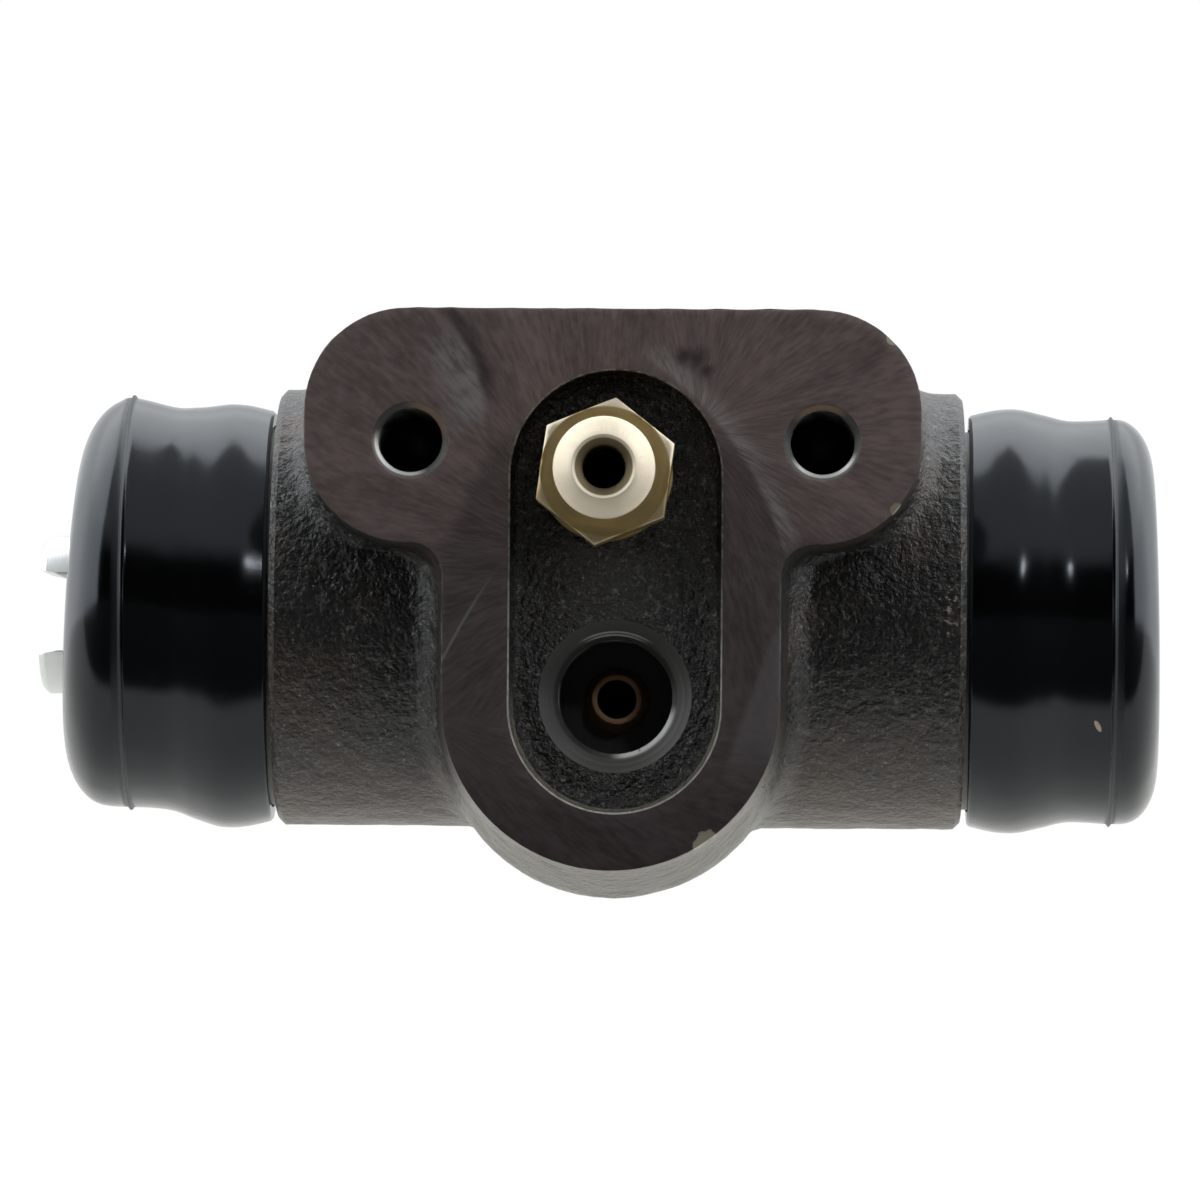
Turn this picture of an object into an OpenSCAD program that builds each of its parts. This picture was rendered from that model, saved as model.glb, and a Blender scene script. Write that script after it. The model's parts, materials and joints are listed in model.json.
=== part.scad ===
// Drum-brake wheel cylinder: a cast housing with a machined mounting pad, two pistons
// that a spring pushes apart, and a rubber boot over each end of the bore.
// X runs along the bore, +Y runs into the part from the mounting face, and Z is up.
// The origin lies on the mounting face, midway between the two mounting threads.

/* [Mounting pad] */
// Distance between the two mounting threads
bolt_spacing = 32; // [30:0.5:36]
// Tap drill of the mounting threads
bolt_hole_d = 5; // [4.2:0.1:6]
// Depth of the mounting threads
bolt_hole_depth = 14; // [10:0.5:16]
// Chamfer at the mouth of the mounting threads
bolt_chamfer = 0.45; // [0.2:0.05:1]
// Radius of the pad's ears about the mounting threads
ear_r = 7.95; // [7:0.05:8.5]
// Height of the pad's top edge above the bolt line
pad_top = 10.3; // [9.2:0.1:12]
// Width of the pad's stem
stem_w = 26.3; // [22:0.1:28]
// Distance from the bolt line down to the lowest point of the pad
pad_drop = 33.3; // [31:0.1:36]
// Radius of the inner corner between an ear and the stem
corner_r = 2.5; // [1.8:0.1:4]
// Draft angle of the cast walls behind the pad's ears and top edge
head_draft = 1.2; // [0.6:0.1:3]
// Draft angle of the cast walls beside the pad's stem
stem_draft = 4; // [2:0.5:8]
// Draft angle of the cast keel under the pad's stem
keel_draft = 10.5; // [8:0.5:12]
// How much narrower the keel is than the stem, on the radius
keel_inset = 1.6; // [1:0.1:2.5]
// Setback of the keel from the pad's lower edge
keel_setback = 0.15; // [0.1:0.05:0.4]
// Sideways shift of the cast boss against the mounting threads
boss_shift = -0.3; // [-0.5:0.1:0.5]
// Depth behind the pad at which the boss falls away towards the barrel
shoulder_depth = 12; // [8:0.5:16]

/* [Barrel] */
// Diameter of the bore
bore_d = 22.2; // [19:0.1:23]
// Depth of the bore axis behind the mounting face
axis_depth = 26; // [25.5:0.5:30]
// Distance of the bore axis below the bolt line
axis_drop = 12.7; // [12:0.1:14]
// Length of the cast barrel between its end shoulders
barrel_len = 55; // [54:0.5:65]
// Thickness of the barrel's wall under the bore
barrel_wall = 5.8; // [5:0.05:7]
// Extra casting above the bore
barrel_crown = 1.5; // [0:0.1:3]
// Chamfer on the barrel's end shoulders
barrel_edge = 0.5; // [0.2:0.1:1]
// Length of the neck that carries the boot at each end
neck_len = 5.5; // [4.5:0.1:7]
// Thickness of the neck's wall
neck_wall = 4.2; // [3:0.1:4.6]
// Width of the boot groove in the neck
groove_w = 2.6; // [2:0.1:3.2]
// Depth of the boot groove in the neck
groove_depth = 1.4; // [0.8:0.1:2]
// Lead-in chamfer at the mouths of the bore
mouth_chamfer = 0.8; // [0.3:0.1:1.2]

/* [Recess and inlet port] */
// Radius of the recess's round ends
recess_r = 8.2; // [7.6:0.1:9.5]
// Distance of the recess's upper arc centre below the bolt line
recess_drop = 2.7; // [1:0.1:4]
// Distance between the recess's arc centres
recess_len = 17.9; // [16:0.1:20]
// Depth of the recess
recess_depth = 2.8; // [2:0.1:3.4]
// Draft angle of the recess's wall
recess_draft = 6; // [4:1:20]
// Distance of the inlet port below the bolt line
port_drop = 19.7; // [19:0.1:21]
// Tap drill of the inlet port's thread
port_d = 8.92; // [8:0.02:9.6]
// Depth of the inlet port below the recess floor
port_depth = 10.5; // [8:0.1:10.8]
// Chamfer at the mouth of the inlet port
port_chamfer = 1.5; // [0.6:0.1:2]
// Length of the wider, unthreaded stretch at the port's bottom
relief_len = 2.6; // [1.5:0.1:3.4]
// How much wider that stretch is, on the radius
relief_step = 0.35; // [0.1:0.05:0.6]
// Diameter of the passage from the port to the bore
feed_d = 1.8; // [1:0.1:2.2]
// Diameter of the seat's pressed-in base
seat_base_d = 5.2; // [4.6:0.1:5.6]
// Depth that the seat is pressed in
seat_press = 1.2; // [0.8:0.1:1.4]
// Height of the seat's cone above the port's bottom
seat_height = 2.2; // [1.4:0.1:3]
// Outer diameter of the seat's rim
seat_rim_d = 3.9; // [3.5:0.1:4.4]
// Inner diameter of the seat's rim
seat_hole_d = 3; // [2.4:0.1:3.2]

/* [Bleeder screw] */
// Sideways place of the bleeder screw
bleed_x = -0.8; // [-1:0.1:1]
// Distance of the bleeder screw below the bolt line
bleed_drop = 2.5; // [2:0.1:3.4]
// Tap drill of the bleeder's thread
bleed_thread_d = 6.7; // [6:0.1:7.4]
// Depth of the bleeder's thread below the recess floor
bleed_depth = 11; // [8:0.5:13]
// Diameter of the passage from the bleeder to the bore
bleed_passage_d = 2.6; // [2:0.1:3]
// Hexagon across its flats
hex_af = 10; // [9:0.5:11]
// Thickness of the hexagon
hex_t = 3.6; // [2.6:0.1:5]
// Turned chamfer that cuts the hexagon's corners
hex_chamfer = 0.35; // [0.2:0.05:0.8]
// Turn of the hexagon from corner-right, seen from behind
hex_turn = 22; // [0:1:59]
// Diameter of the round collar behind the hexagon
collar_d = 10.4; // [9.6:0.1:11]
// Thickness of the collar
collar_t = 1.2; // [0.8:0.1:2]
// Gap between the collar and the recess floor
collar_gap = 0.6; // [0.3:0.1:1]
// Length of the nipple in front of the hexagon
nipple_len = 6; // [5:0.1:9]
// Diameter of the nipple's head
nipple_d = 7.85; // [7:0.05:8.4]
// Length of the cone at the nipple's end
nipple_cone = 1.2; // [0.8:0.1:1.6]
// Length of the straight band behind that cone
nipple_band = 0.8; // [0.5:0.1:1.2]
// Length of the taper from the band to the neck
nipple_taper = 1.6; // [1:0.1:2]
// Diameter of the nipple's neck
nipple_neck_d = 6.2; // [5.4:0.1:6.6]
// Diameter of the hole in the nipple
nipple_hole_d = 3.3; // [2.4:0.1:3.6]
// Chamfer at the mouth of that hole
nipple_chamfer = 0.8; // [0.3:0.1:0.9]
// Diameter of the narrower hole through the shank
shank_hole_d = 2.2; // [1.8:0.1:2.3]
// Diameter of the cross hole near the bleeder's tip
cross_hole_d = 1.5; // [1:0.1:1.7]
// Undercut of the shank below its thread, on the radius
shank_step = 0.6; // [0.4:0.1:0.8]

/* [Pistons] */
// Length of a piston from its flat end to the tip of its nose
piston_len = 30; // [28:0.5:32]
// Length of the land that runs in the bore
land_len = 13.5; // [11:0.5:15]
// Chamfer at both ends of the land
land_chamfer = 0.6; // [0.3:0.1:1.2]
// Diameter of a piston's nose
nose_d = 12.8; // [11.4:0.1:14]
// Chamfer round the tip of the nose
nose_chamfer = 0.5; // [0.2:0.1:1]
// Width of the slot for the brake shoe
slot_w = 6.2; // [4.5:0.1:7]
// Depth of the slot for the brake shoe
slot_depth = 5; // [4.5:0.1:5.4]
// Depth of the wider mouth of the slot
slot_mouth = 1.6; // [0.8:0.1:2.5]
// Flare of the slot's mouth on each side
slot_flare = 0.3; // [0.1:0.05:0.5]
// Distance of the boot lip's groove behind the tip
lip_setback = 6.8; // [6.6:0.1:7.4]
// Width of the boot lip's groove
lip_groove_w = 2.2; // [1.6:0.1:2.4]
// Depth of the boot lip's groove
lip_groove_depth = 1; // [0.6:0.1:1.4]
// How far the left nose stands out past the barrel's end
left_nose_out = 19.3; // [18.6:0.1:21]
// How far the right nose stands out past the barrel's end
right_nose_out = 15.4; // [14.6:0.1:17]

/* [Seals and spring] */
// Length of a seal cup, lip included
cup_len = 5.5; // [4.5:0.1:6]
// Thickness of a seal cup's base
cup_base = 2.4; // [1.6:0.1:3]
// Thickness of a seal cup's lip
cup_lip = 1.6; // [1.2:0.1:2.2]
// Sheet thickness of the cup expanders
expander_t = 0.8; // [0.5:0.1:1]
// Outer diameter of the return spring
spring_d = 11.4; // [10:0.1:12]
// Wire diameter of the return spring
wire_d = 1.1; // [0.8:0.1:1.3]
// Turns of the return spring, its closed end turns included
spring_turns = 7; // [5:1:8]

/* [Boots] */
// Wall of a boot
boot_wall = 1.55; // [1:0.05:1.8]
// Rounding of a boot's open edge
boot_round = 0.2; // [0.1:0.1:0.6]
// Distance between the barrel's end and a boot
boot_start = 0.6; // [0.4:0.1:1.2]
// Place of a boot's widest ring past the barrel's end
bulge_at = 4; // [3.6:0.1:5]
// Place of a boot's waist past the barrel's end
waist_at = 9.6; // [8:0.1:10]
// How much narrower the waist is, on the radius
waist_dip = 0.9; // [0.2:0.1:1.2]
// Place of the thin moulding ridge past the barrel's end
ridge_at = 12.1; // [11.5:0.1:12.3]
// Height of the moulding ridge
ridge_h = 0.25; // [0.1:0.05:0.6]
// Place at which a boot's dome starts past the barrel's end
dome_at = 12.8; // [12.7:0.1:13.5]
// Length of the left boot's dome, drawn out by its piston
left_dome_len = 4; // [3.2:0.1:5]
// Drop of the left boot's dome from its edge to its crest
left_dome_drop = 5.6; // [5:0.1:7.4]
// Length of the right boot's dome
right_dome_len = 2.9; // [2.6:0.1:4.4]
// Drop of the right boot's dome from its edge to its crest
right_dome_drop = 4.3; // [3.4:0.1:6]

/* [Clearances] */
// Radial clearance of a piston in the bore
piston_gap = 0.04; // [0.02:0.01:0.08]
// Radial clearance of a seal cup in the bore
cup_gap = 0.05; // [0.02:0.01:0.09]
// Radial clearance of the bleeder's thread
thread_gap = 0.05; // [0.02:0.01:0.09]
// Clearance of the boots on the neck and on the nose
rubber_gap = 0.2; // [0.1:0.05:0.3]
// Extra room of the boots' wall round the neck
rubber_slack = 0.1; // [0.05:0.05:0.3]
// Gap between the spring's closed end turns
coil_gap = 0.05; // [0.02:0.01:0.1]
// Clearance between parts that sit against each other
seat_gap = 0.05; // [0.02:0.01:0.1]
// Clearance of the pressed-in seat
press_gap = 0.01; // [0:0.005:0.02]

/* [Hidden] */
$fn = 96;
spring_fn = 18;
wire_fn = 8;
past = 1;
bolt_x = bolt_spacing / 2;
stem_r = stem_w / 2;
stem_z = stem_r - pad_drop;
ear_rise = pad_top - ear_r;
head_slope = tan(head_draft);
stem_slope = tan(stem_draft);
keel_slope = tan(keel_draft);
bore_r = bore_d / 2;
axis_z = -axis_drop;
barrel_r = bore_r + barrel_wall + barrel_crown / 2;
barrel_z = axis_z + barrel_crown / 2;
neck_r = bore_r + neck_wall;
barrel_end = barrel_len / 2;
neck_end = barrel_end + neck_len;
groove_at = boot_start + rubber_gap;
recess_inset = recess_depth * tan(recess_draft);
port_r = port_d / 2;
port_floor = recess_depth + port_depth;
bleed_r = bleed_thread_d / 2;
bleed_floor = recess_depth + bleed_depth;
nose_r = nose_d / 2;
lip_groove_r = nose_r - lip_groove_depth;
left_tip = barrel_end + left_nose_out;
right_tip = barrel_end + right_nose_out;
left_back = left_tip - piston_len;
right_back = right_tip - piston_len;
spring_seat = seat_gap + cup_base + seat_gap + expander_t + seat_gap;
bulge_r = neck_r + rubber_gap + rubber_slack + boot_wall;
waist_r = bulge_r - waist_dip;

// Places a shape whose axis is Z along the bore: +Z points out of the right end, or of the left one.
module along_bore(left = false) {
    translate([0, axis_depth, axis_z])
        mirror([left ? 1 : 0, 0, 0])
            rotate([0, 90, 0])
                children();
}

// Places a shape whose axis is Z on the pad: +Z points into the part from the mounting face.
module into_pad(x, z) {
    translate([x, 0, z])
        rotate([-90, 0, 0])
            children();
}

// Extrudes a section in Y and Z along X, between two places.
module section_along_x(x0, x1) {
    translate([x0, 0, 0])
        rotate([90, 0, 90])
            linear_extrude(x1 - x0)
                children();
}

// A round cast ear that grows with depth.
module drafted_ear(x, z) {
    into_pad(x, z)
        cylinder(h = axis_depth, r1 = ear_r, r2 = ear_r + head_slope * axis_depth);
}

// The bar between the ears' ends, whose two sides lean out with depth.
module ear_bar() {
    half_w = bolt_x + ear_r;
    lean = half_w + head_slope * axis_depth;
    linear_extrude(ear_rise)
        polygon([[-half_w, 0], [half_w, 0], [lean, axis_depth], [-lean, axis_depth]]);
}

// A round cast wall that grows as far as the boss's shoulder and runs straight behind it.
module drafted_round(z, r, slope) {
    grown = r + slope * shoulder_depth;
    into_pad(0, z)
        rotate_extrude()
            polygon([
                [0, 0], [r, 0],
                [grown, shoulder_depth], [grown, axis_depth],
                [0, axis_depth]
            ]);
}

// The pad's stem with the keel that swells out under it.
module stem() {
    grown = stem_r + stem_slope * shoulder_depth;
    keel_r = stem_r - keel_inset;
    drafted_round(stem_z, stem_r, stem_slope);
    drafted_round(keel_r + keel_setback - pad_drop, keel_r, keel_slope);
    translate([0, 0, stem_z])
        linear_extrude(-stem_z)
            polygon([
                [-stem_r, 0], [stem_r, 0],
                [grown, shoulder_depth], [grown, axis_depth],
                [-grown, axis_depth], [-grown, shoulder_depth]
            ]);
}

// The top of the pad's head, which leans up with depth.
module head_bar() {
    section_along_x(-bolt_x, bolt_x)
        polygon([
            [0, -ear_r / 2],
            [0, pad_top],
            [axis_depth, pad_top + head_slope * axis_depth],
            [axis_depth, -ear_r / 2]
        ]);
}

// The round inner corner between an ear and the stem, on the right.
module inner_corner() {
    run = axis_depth - barrel_r + corner_r;
    centre_x = stem_r + corner_r;
    reach = ear_r + corner_r;
    centre_z = -sqrt(reach * reach - (bolt_x - centre_x) * (bolt_x - centre_x));
    touch_x = bolt_x + (centre_x - bolt_x) * ear_r / reach;
    touch_z = centre_z * ear_r / reach;
    difference() {
        translate([0, run, 0])
            rotate([90, 0, 0])
                linear_extrude(run)
                    polygon([
                        [stem_r / 2, centre_z],
                        [centre_x, centre_z],
                        [touch_x, touch_z],
                        [stem_r / 2, touch_z / 2]
                    ]);
        into_pad(centre_x, centre_z)
            cylinder(h = run, r1 = corner_r, r2 = corner_r - (head_slope + stem_slope) / 2 * run);
    }
}

// The side view of the boss: full behind the pad, then falling away to the barrel above and below.
module boss_side_view() {
    top = pad_top + head_slope * shoulder_depth;
    bottom = -pad_drop - keel_slope * shoulder_depth - past;
    polygon([
        [0, top],
        [shoulder_depth, top],
        [axis_depth, barrel_z + barrel_r - barrel_edge],
        [axis_depth, barrel_z - barrel_r + barrel_edge],
        [shoulder_depth, bottom],
        [0, bottom]
    ]);
}

// The mushroom-shaped boss that ends in the mounting face.
module mounting_boss() {
    intersection() {
        union() {
            stem();
            ear_bar();
            head_bar();
            for (side = [-1, 1]) {
                drafted_ear(side * bolt_x, 0);
                drafted_ear(side * bolt_x, ear_rise);
            }
            inner_corner();
            mirror([1, 0, 0])
                inner_corner();
        }
        section_along_x(-barrel_end, barrel_end)
            boss_side_view();
    }
}

// The cast barrel, a little taller above the bore than under it.
module barrel() {
    translate([0, axis_depth, barrel_z])
        rotate([0, 90, 0])
            rotate_extrude()
                polygon([
                    [0, -barrel_end],
                    [barrel_r - barrel_edge, -barrel_end],
                    [barrel_r, -barrel_end + barrel_edge],
                    [barrel_r, barrel_end - barrel_edge],
                    [barrel_r - barrel_edge, barrel_end],
                    [0, barrel_end]
                ]);
}

// One turned neck with the groove that holds a boot.
module neck() {
    groove_r = neck_r - groove_depth;
    groove_x = barrel_end + groove_at;
    rotate_extrude()
        polygon([
            [0, 0],
            [neck_r, 0],
            [neck_r, groove_x],
            [groove_r, groove_x],
            [groove_r, groove_x + groove_w],
            [neck_r, groove_x + groove_w],
            [neck_r, neck_end],
            [0, neck_end]
        ]);
}

// The bore with a lead-in at each mouth.
module bore() {
    along_bore()
        cylinder(h = 2 * (neck_end + past), r = bore_r, center = true);
    for (left = [false, true])
        along_bore(left)
            translate([0, 0, neck_end - mouth_chamfer])
                cylinder(h = 2 * mouth_chamfer, r1 = bore_r, r2 = bore_r + 2 * mouth_chamfer);
}

// The as-cast recess in the pad.
module recess() {
    low_z = -recess_drop - recess_len;
    floor_r = recess_r - recess_inset;
    front_r = recess_r + recess_inset * past / recess_depth;
    for (z = [-recess_drop, low_z])
        into_pad(0, z)
            translate([0, 0, -past])
                cylinder(h = past + recess_depth, r1 = front_r, r2 = floor_r);
    translate([0, 0, low_z])
        linear_extrude(recess_len)
            polygon([
                [-front_r, -past], [front_r, -past],
                [floor_r, recess_depth], [-floor_r, recess_depth]
            ]);
}

// One blind mounting thread with its chamfer.
module bolt_hole() {
    bolt_r = bolt_hole_d / 2;
    tip = bolt_r / 2;
    rotate_extrude()
        polygon([
            [0, -past],
            [bolt_r + bolt_chamfer + past, -past],
            [bolt_r, bolt_chamfer],
            [bolt_r, bolt_hole_depth],
            [0, bolt_hole_depth + tip]
        ]);
}

// The inlet port: chamfer, thread, wider bottom, seat bore and the passage into the bore.
module inlet_port() {
    relief_top = port_floor - relief_len;
    rotate_extrude()
        polygon([
            [0, 0],
            [port_r + port_chamfer, 0],
            [port_r + port_chamfer, recess_depth],
            [port_r, recess_depth + port_chamfer],
            [port_r, relief_top],
            [port_r + relief_step, relief_top + relief_step],
            [port_r + relief_step, port_floor],
            [seat_base_d / 2, port_floor],
            [seat_base_d / 2, port_floor + seat_press],
            [feed_d / 2, port_floor + seat_press],
            [feed_d / 2, axis_depth],
            [0, axis_depth]
        ]);
}

// The bleeder's thread, its conical seat and the passage to the top of the bore.
module bleed_port() {
    passage_r = bleed_passage_d / 2;
    rotate_extrude()
        polygon([
            [0, 0],
            [bleed_r, 0],
            [bleed_r, bleed_floor],
            [passage_r, bleed_floor + bleed_r - passage_r],
            [passage_r, axis_depth],
            [0, axis_depth]
        ]);
}

module cylinder_body() {
    color([0.20, 0.19, 0.19])
        difference() {
            union() {
                barrel();
                for (left = [false, true])
                    along_bore(left)
                        neck();
                translate([boss_shift, 0, 0])
                    mounting_boss();
            }
            bore();
            recess();
            for (side = [-1, 1])
                into_pad(side * bolt_x, 0)
                    bolt_hole();
            into_pad(0, -port_drop)
                inlet_port();
            into_pad(bleed_x, -bleed_drop)
                bleed_port();
        }
}

// A piston, from its flat end at zero to the tip of its slotted nose.
module piston() {
    land_r = bore_r - piston_gap;
    groove = piston_len - lip_setback;
    mouth_w = slot_w / 2 + slot_flare;
    color([0.82, 0.83, 0.84])
        difference() {
            rotate_extrude()
                polygon([
                    [0, 0],
                    [land_r - land_chamfer, 0],
                    [land_r, land_chamfer],
                    [land_r, land_len - land_chamfer],
                    [land_r - land_chamfer, land_len],
                    [nose_r, land_len],
                    [nose_r, groove - lip_groove_w / 2],
                    [lip_groove_r, groove - lip_groove_w / 2],
                    [lip_groove_r, groove + lip_groove_w / 2],
                    [nose_r, groove + lip_groove_w / 2],
                    [nose_r, piston_len - nose_chamfer],
                    [nose_r - nose_chamfer, piston_len],
                    [0, piston_len]
                ]);
            rotate([90, 0, 0])
                linear_extrude(2 * (nose_r + past), center = true)
                    polygon([
                        [-slot_w / 2, piston_len - slot_depth],
                        [slot_w / 2, piston_len - slot_depth],
                        [slot_w / 2, piston_len - slot_mouth],
                        [mouth_w, piston_len],
                        [mouth_w, piston_len + past],
                        [-mouth_w, piston_len + past],
                        [-mouth_w, piston_len],
                        [-slot_w / 2, piston_len - slot_mouth]
                    ]);
        }
}

module left_piston() {
    along_bore(true)
        translate([0, 0, left_back])
            piston();
}

module right_piston() {
    along_bore()
        translate([0, 0, right_back])
            piston();
}

// A rubber seal cup behind a piston, with its lip facing the middle of the bore.
module cup() {
    cup_r = bore_r - cup_gap;
    base = -seat_gap;
    color([0.08, 0.08, 0.08])
        rotate_extrude()
            polygon([
                [0, base],
                [cup_r - cup_lip / 2, base],
                [cup_r - cup_lip / 4, base - cup_base],
                [cup_r, base - cup_len + cup_lip / 2],
                [cup_r - cup_lip / 2, base - cup_len],
                [cup_r - cup_lip, base - cup_base],
                [0, base - cup_base]
            ]);
}

module left_cup() {
    along_bore(true)
        translate([0, 0, left_back])
            cup();
}

module right_cup() {
    along_bore()
        translate([0, 0, right_back])
            cup();
}

// The dished washer inside a cup that holds its lip out and seats the spring.
module expander() {
    floor_z = -2 * seat_gap - cup_base;
    floor_r = spring_d / 2 + expander_t;
    rim_z = -seat_gap - cup_len + cup_lip / 2;
    rim_r = bore_r - cup_gap - cup_lip - 2 * expander_t;
    color([0.72, 0.72, 0.70])
        rotate_extrude()
            polygon([
                [0, floor_z],
                [floor_r, floor_z],
                [rim_r + expander_t, rim_z],
                [rim_r, rim_z],
                [floor_r - expander_t / 2, floor_z - expander_t],
                [0, floor_z - expander_t]
            ]);
}

module left_cup_expander() {
    along_bore(true)
        translate([0, 0, left_back])
            expander();
}

module right_cup_expander() {
    along_bore()
        translate([0, 0, right_back])
            expander();
}

// Place along the spring after a number of turns, with one closed turn at each end.
function spring_x(turn, x0, x1) =
    let (
        closed = wire_d + coil_gap,
        open = (x1 - x0 - wire_d - 2 * closed) / (spring_turns - 2)
    )
    x0 + wire_d / 2 + closed * (min(turn, 1) + max(turn - spring_turns + 1, 0))
        + open * min(max(turn - 1, 0), spring_turns - 2);

// One ring of points round the spring's wire.
function wire_ring(turn, x0, x1) = [
    for (k = [0:wire_fn - 1])
        let (
            a = 360 * k / wire_fn,
            r = (spring_d - wire_d) / 2 + wire_d / 2 * cos(a)
        )
        [
            spring_x(turn, x0, x1) + wire_d / 2 * sin(a),
            r * cos(360 * turn),
            r * sin(360 * turn)
        ]
];

module return_spring() {
    x0 = -left_back + spring_seat;
    x1 = right_back - spring_seat;
    rings = spring_turns * spring_fn;
    points = [for (i = [0:rings], p = wire_ring(i / spring_fn, x0, x1)) p];
    sides = [
        for (i = [0:rings - 1], k = [0:wire_fn - 1])
            let (next = (k + 1) % wire_fn)
            [
                i * wire_fn + k,
                i * wire_fn + next,
                (i + 1) * wire_fn + next,
                (i + 1) * wire_fn + k
            ]
    ];
    first = [for (k = [wire_fn - 1:-1:0]) k];
    last = [for (k = [0:wire_fn - 1]) rings * wire_fn + k];
    color([0.6, 0.61, 0.62])
        translate([0, axis_depth, axis_z])
            polyhedron(points, concat([first], sides, [last]));
}

// A point on a smooth curve from b to c, with a before it and d after it.
function curve_point(a, b, c, d, t) =
    (2 * b + (c - a) * t + (2 * a - 5 * b + 4 * c - d) * t * t
        + (3 * b - a - 3 * c + d) * t * t * t) / 2;

// A smooth curve through a list of points.
function curve(p, steps) = [
    for (i = [0:len(p) - 2], k = [0:steps - 1])
        curve_point(p[max(i - 1, 0)], p[i], p[i + 1], p[min(i + 2, len(p) - 1)], k / steps)
];

// The quarter ellipse of a boot's dome, drawn in by an inset.
function dome(length, drop, inset) = [
    for (a = [90:-10:0])
        [
            waist_r - drop + (drop - inset) * sin(a),
            dome_at + (length - inset) * cos(a)
        ]
];

// The wall of a boot from its lip to the start of its dome, drawn in by an inset.
function boot_side(inset) = concat(
    curve([
        [bulge_r - boot_round / 2 - inset, boot_start + boot_round],
        [bulge_r - inset, bulge_at],
        [waist_r - inset, waist_at],
        [waist_r - inset, ridge_at - ridge_h]
    ], 6),
    inset > 0 ? [] : [
        [waist_r, ridge_at - ridge_h],
        [waist_r + ridge_h, ridge_at - ridge_h / 4],
        [waist_r + ridge_h, ridge_at + ridge_h / 4],
        [waist_r, ridge_at + ridge_h]
    ]
);

// The half section of a boot: radius and place past the barrel's end.
module boot_section(dome_len, dome_drop, nose_out) {
    lip_at = nose_out - lip_setback;
    lip_half = lip_groove_w / 2 - rubber_gap / 2;
    bead_in = neck_r - groove_depth + rubber_gap;
    bead_end = groove_at + groove_w - rubber_gap;
    difference() {
        polygon(concat(
            [[0, boot_start], [bulge_r - 3 / 2 * boot_round, boot_start]],
            boot_side(0),
            dome(dome_len, dome_drop, 0),
            [[nose_r + rubber_gap, lip_at + lip_half], [0, lip_at + lip_half]]
        ));
        polygon(concat(
            [[0, bead_end], [neck_r + rubber_gap, bead_end]],
            [for (p = boot_side(boot_wall)) if (p[1] > bead_end + rubber_gap) p],
            dome(dome_len, dome_drop, boot_wall),
            [[nose_r + rubber_gap + boot_wall, lip_at - lip_half], [0, lip_at - lip_half]]
        ));
        square([bead_in, groove_at + rubber_gap / 2 + groove_w]);
        square([neck_r + rubber_gap, groove_at + rubber_gap]);
        square([lip_groove_r + rubber_gap, lip_at + lip_half + past]);
    }
}

module left_boot() {
    color([0.05, 0.05, 0.05])
        along_bore(true)
            translate([0, 0, barrel_end])
                rotate_extrude()
                    boot_section(left_dome_len, left_dome_drop, left_nose_out);
}

module right_boot() {
    color([0.05, 0.05, 0.05])
        along_bore()
            translate([0, 0, barrel_end])
                rotate_extrude()
                    boot_section(right_dome_len, right_dome_drop, right_nose_out);
}

// The turned parts of the bleeder: nipple, collar, shank and conical tip.
module bleeder_turning(hex_front, hex_back) {
    tip = hex_front - nipple_len;
    band = tip + nipple_cone;
    taper = band + nipple_band;
    head_r = nipple_d / 2;
    neck = nipple_neck_d / 2;
    collar_back = hex_back + collar_t;
    shank_r = bleed_r - thread_gap;
    stem = shank_r - shank_step;
    thread_end = bleed_floor - cross_hole_d - bleed_passage_d;
    point_r = bleed_passage_d / 2;
    rotate_extrude()
        polygon([
            [0, tip],
            [nipple_hole_d / 2 + nipple_chamfer, tip],
            [head_r, band],
            [head_r, taper],
            [neck, taper + nipple_taper],
            [neck, hex_front],
            [neck, hex_back],
            [collar_d / 2, hex_back],
            [collar_d / 2, collar_back],
            [shank_r, collar_back],
            [shank_r, thread_end],
            [stem, thread_end + shank_step],
            [stem, bleed_floor],
            [point_r, bleed_floor + stem - point_r],
            [0, bleed_floor + stem - point_r]
        ]);
}

// The bleeder's hexagon with its turned corners.
module bleeder_hexagon(hex_front, hex_back) {
    flat_r = hex_af / 2;
    hex_r = flat_r / cos(30);
    intersection() {
        translate([0, 0, hex_front])
            rotate([0, 0, -hex_turn])
                cylinder(h = hex_t, r = hex_r, $fn = 6);
        rotate_extrude()
            polygon([
                [0, hex_front],
                [flat_r, hex_front],
                [hex_r, hex_front + hex_chamfer],
                [hex_r, hex_back],
                [0, hex_back]
            ]);
    }
}

// The hole down the bleeder and the cross hole at its end.
module bleeder_hole(hex_front, hex_back) {
    tip = hex_front - nipple_len;
    hole_r = nipple_hole_d / 2;
    core_r = shank_hole_d / 2;
    cross_at = bleed_floor - cross_hole_d;
    rotate_extrude()
        polygon([
            [0, tip - past],
            [hole_r + nipple_chamfer + past, tip - past],
            [hole_r, tip + nipple_chamfer],
            [hole_r, hex_back],
            [core_r, hex_back + hole_r - core_r],
            [core_r, bleed_floor - cross_hole_d / 4],
            [0, bleed_floor - cross_hole_d / 4]
        ]);
    translate([0, 0, cross_at])
        rotate([0, 90, 0])
            cylinder(h = bleed_thread_d + past, r = cross_hole_d / 2, center = true);
}

module bleeder_screw() {
    hex_back = recess_depth - collar_gap - collar_t;
    hex_front = hex_back - hex_t;
    color([0.72, 0.62, 0.36])
        into_pad(bleed_x, -bleed_drop)
            difference() {
                union() {
                    bleeder_turning(hex_front, hex_back);
                    bleeder_hexagon(hex_front, hex_back);
                }
                bleeder_hole(hex_front, hex_back);
            }
}

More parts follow.
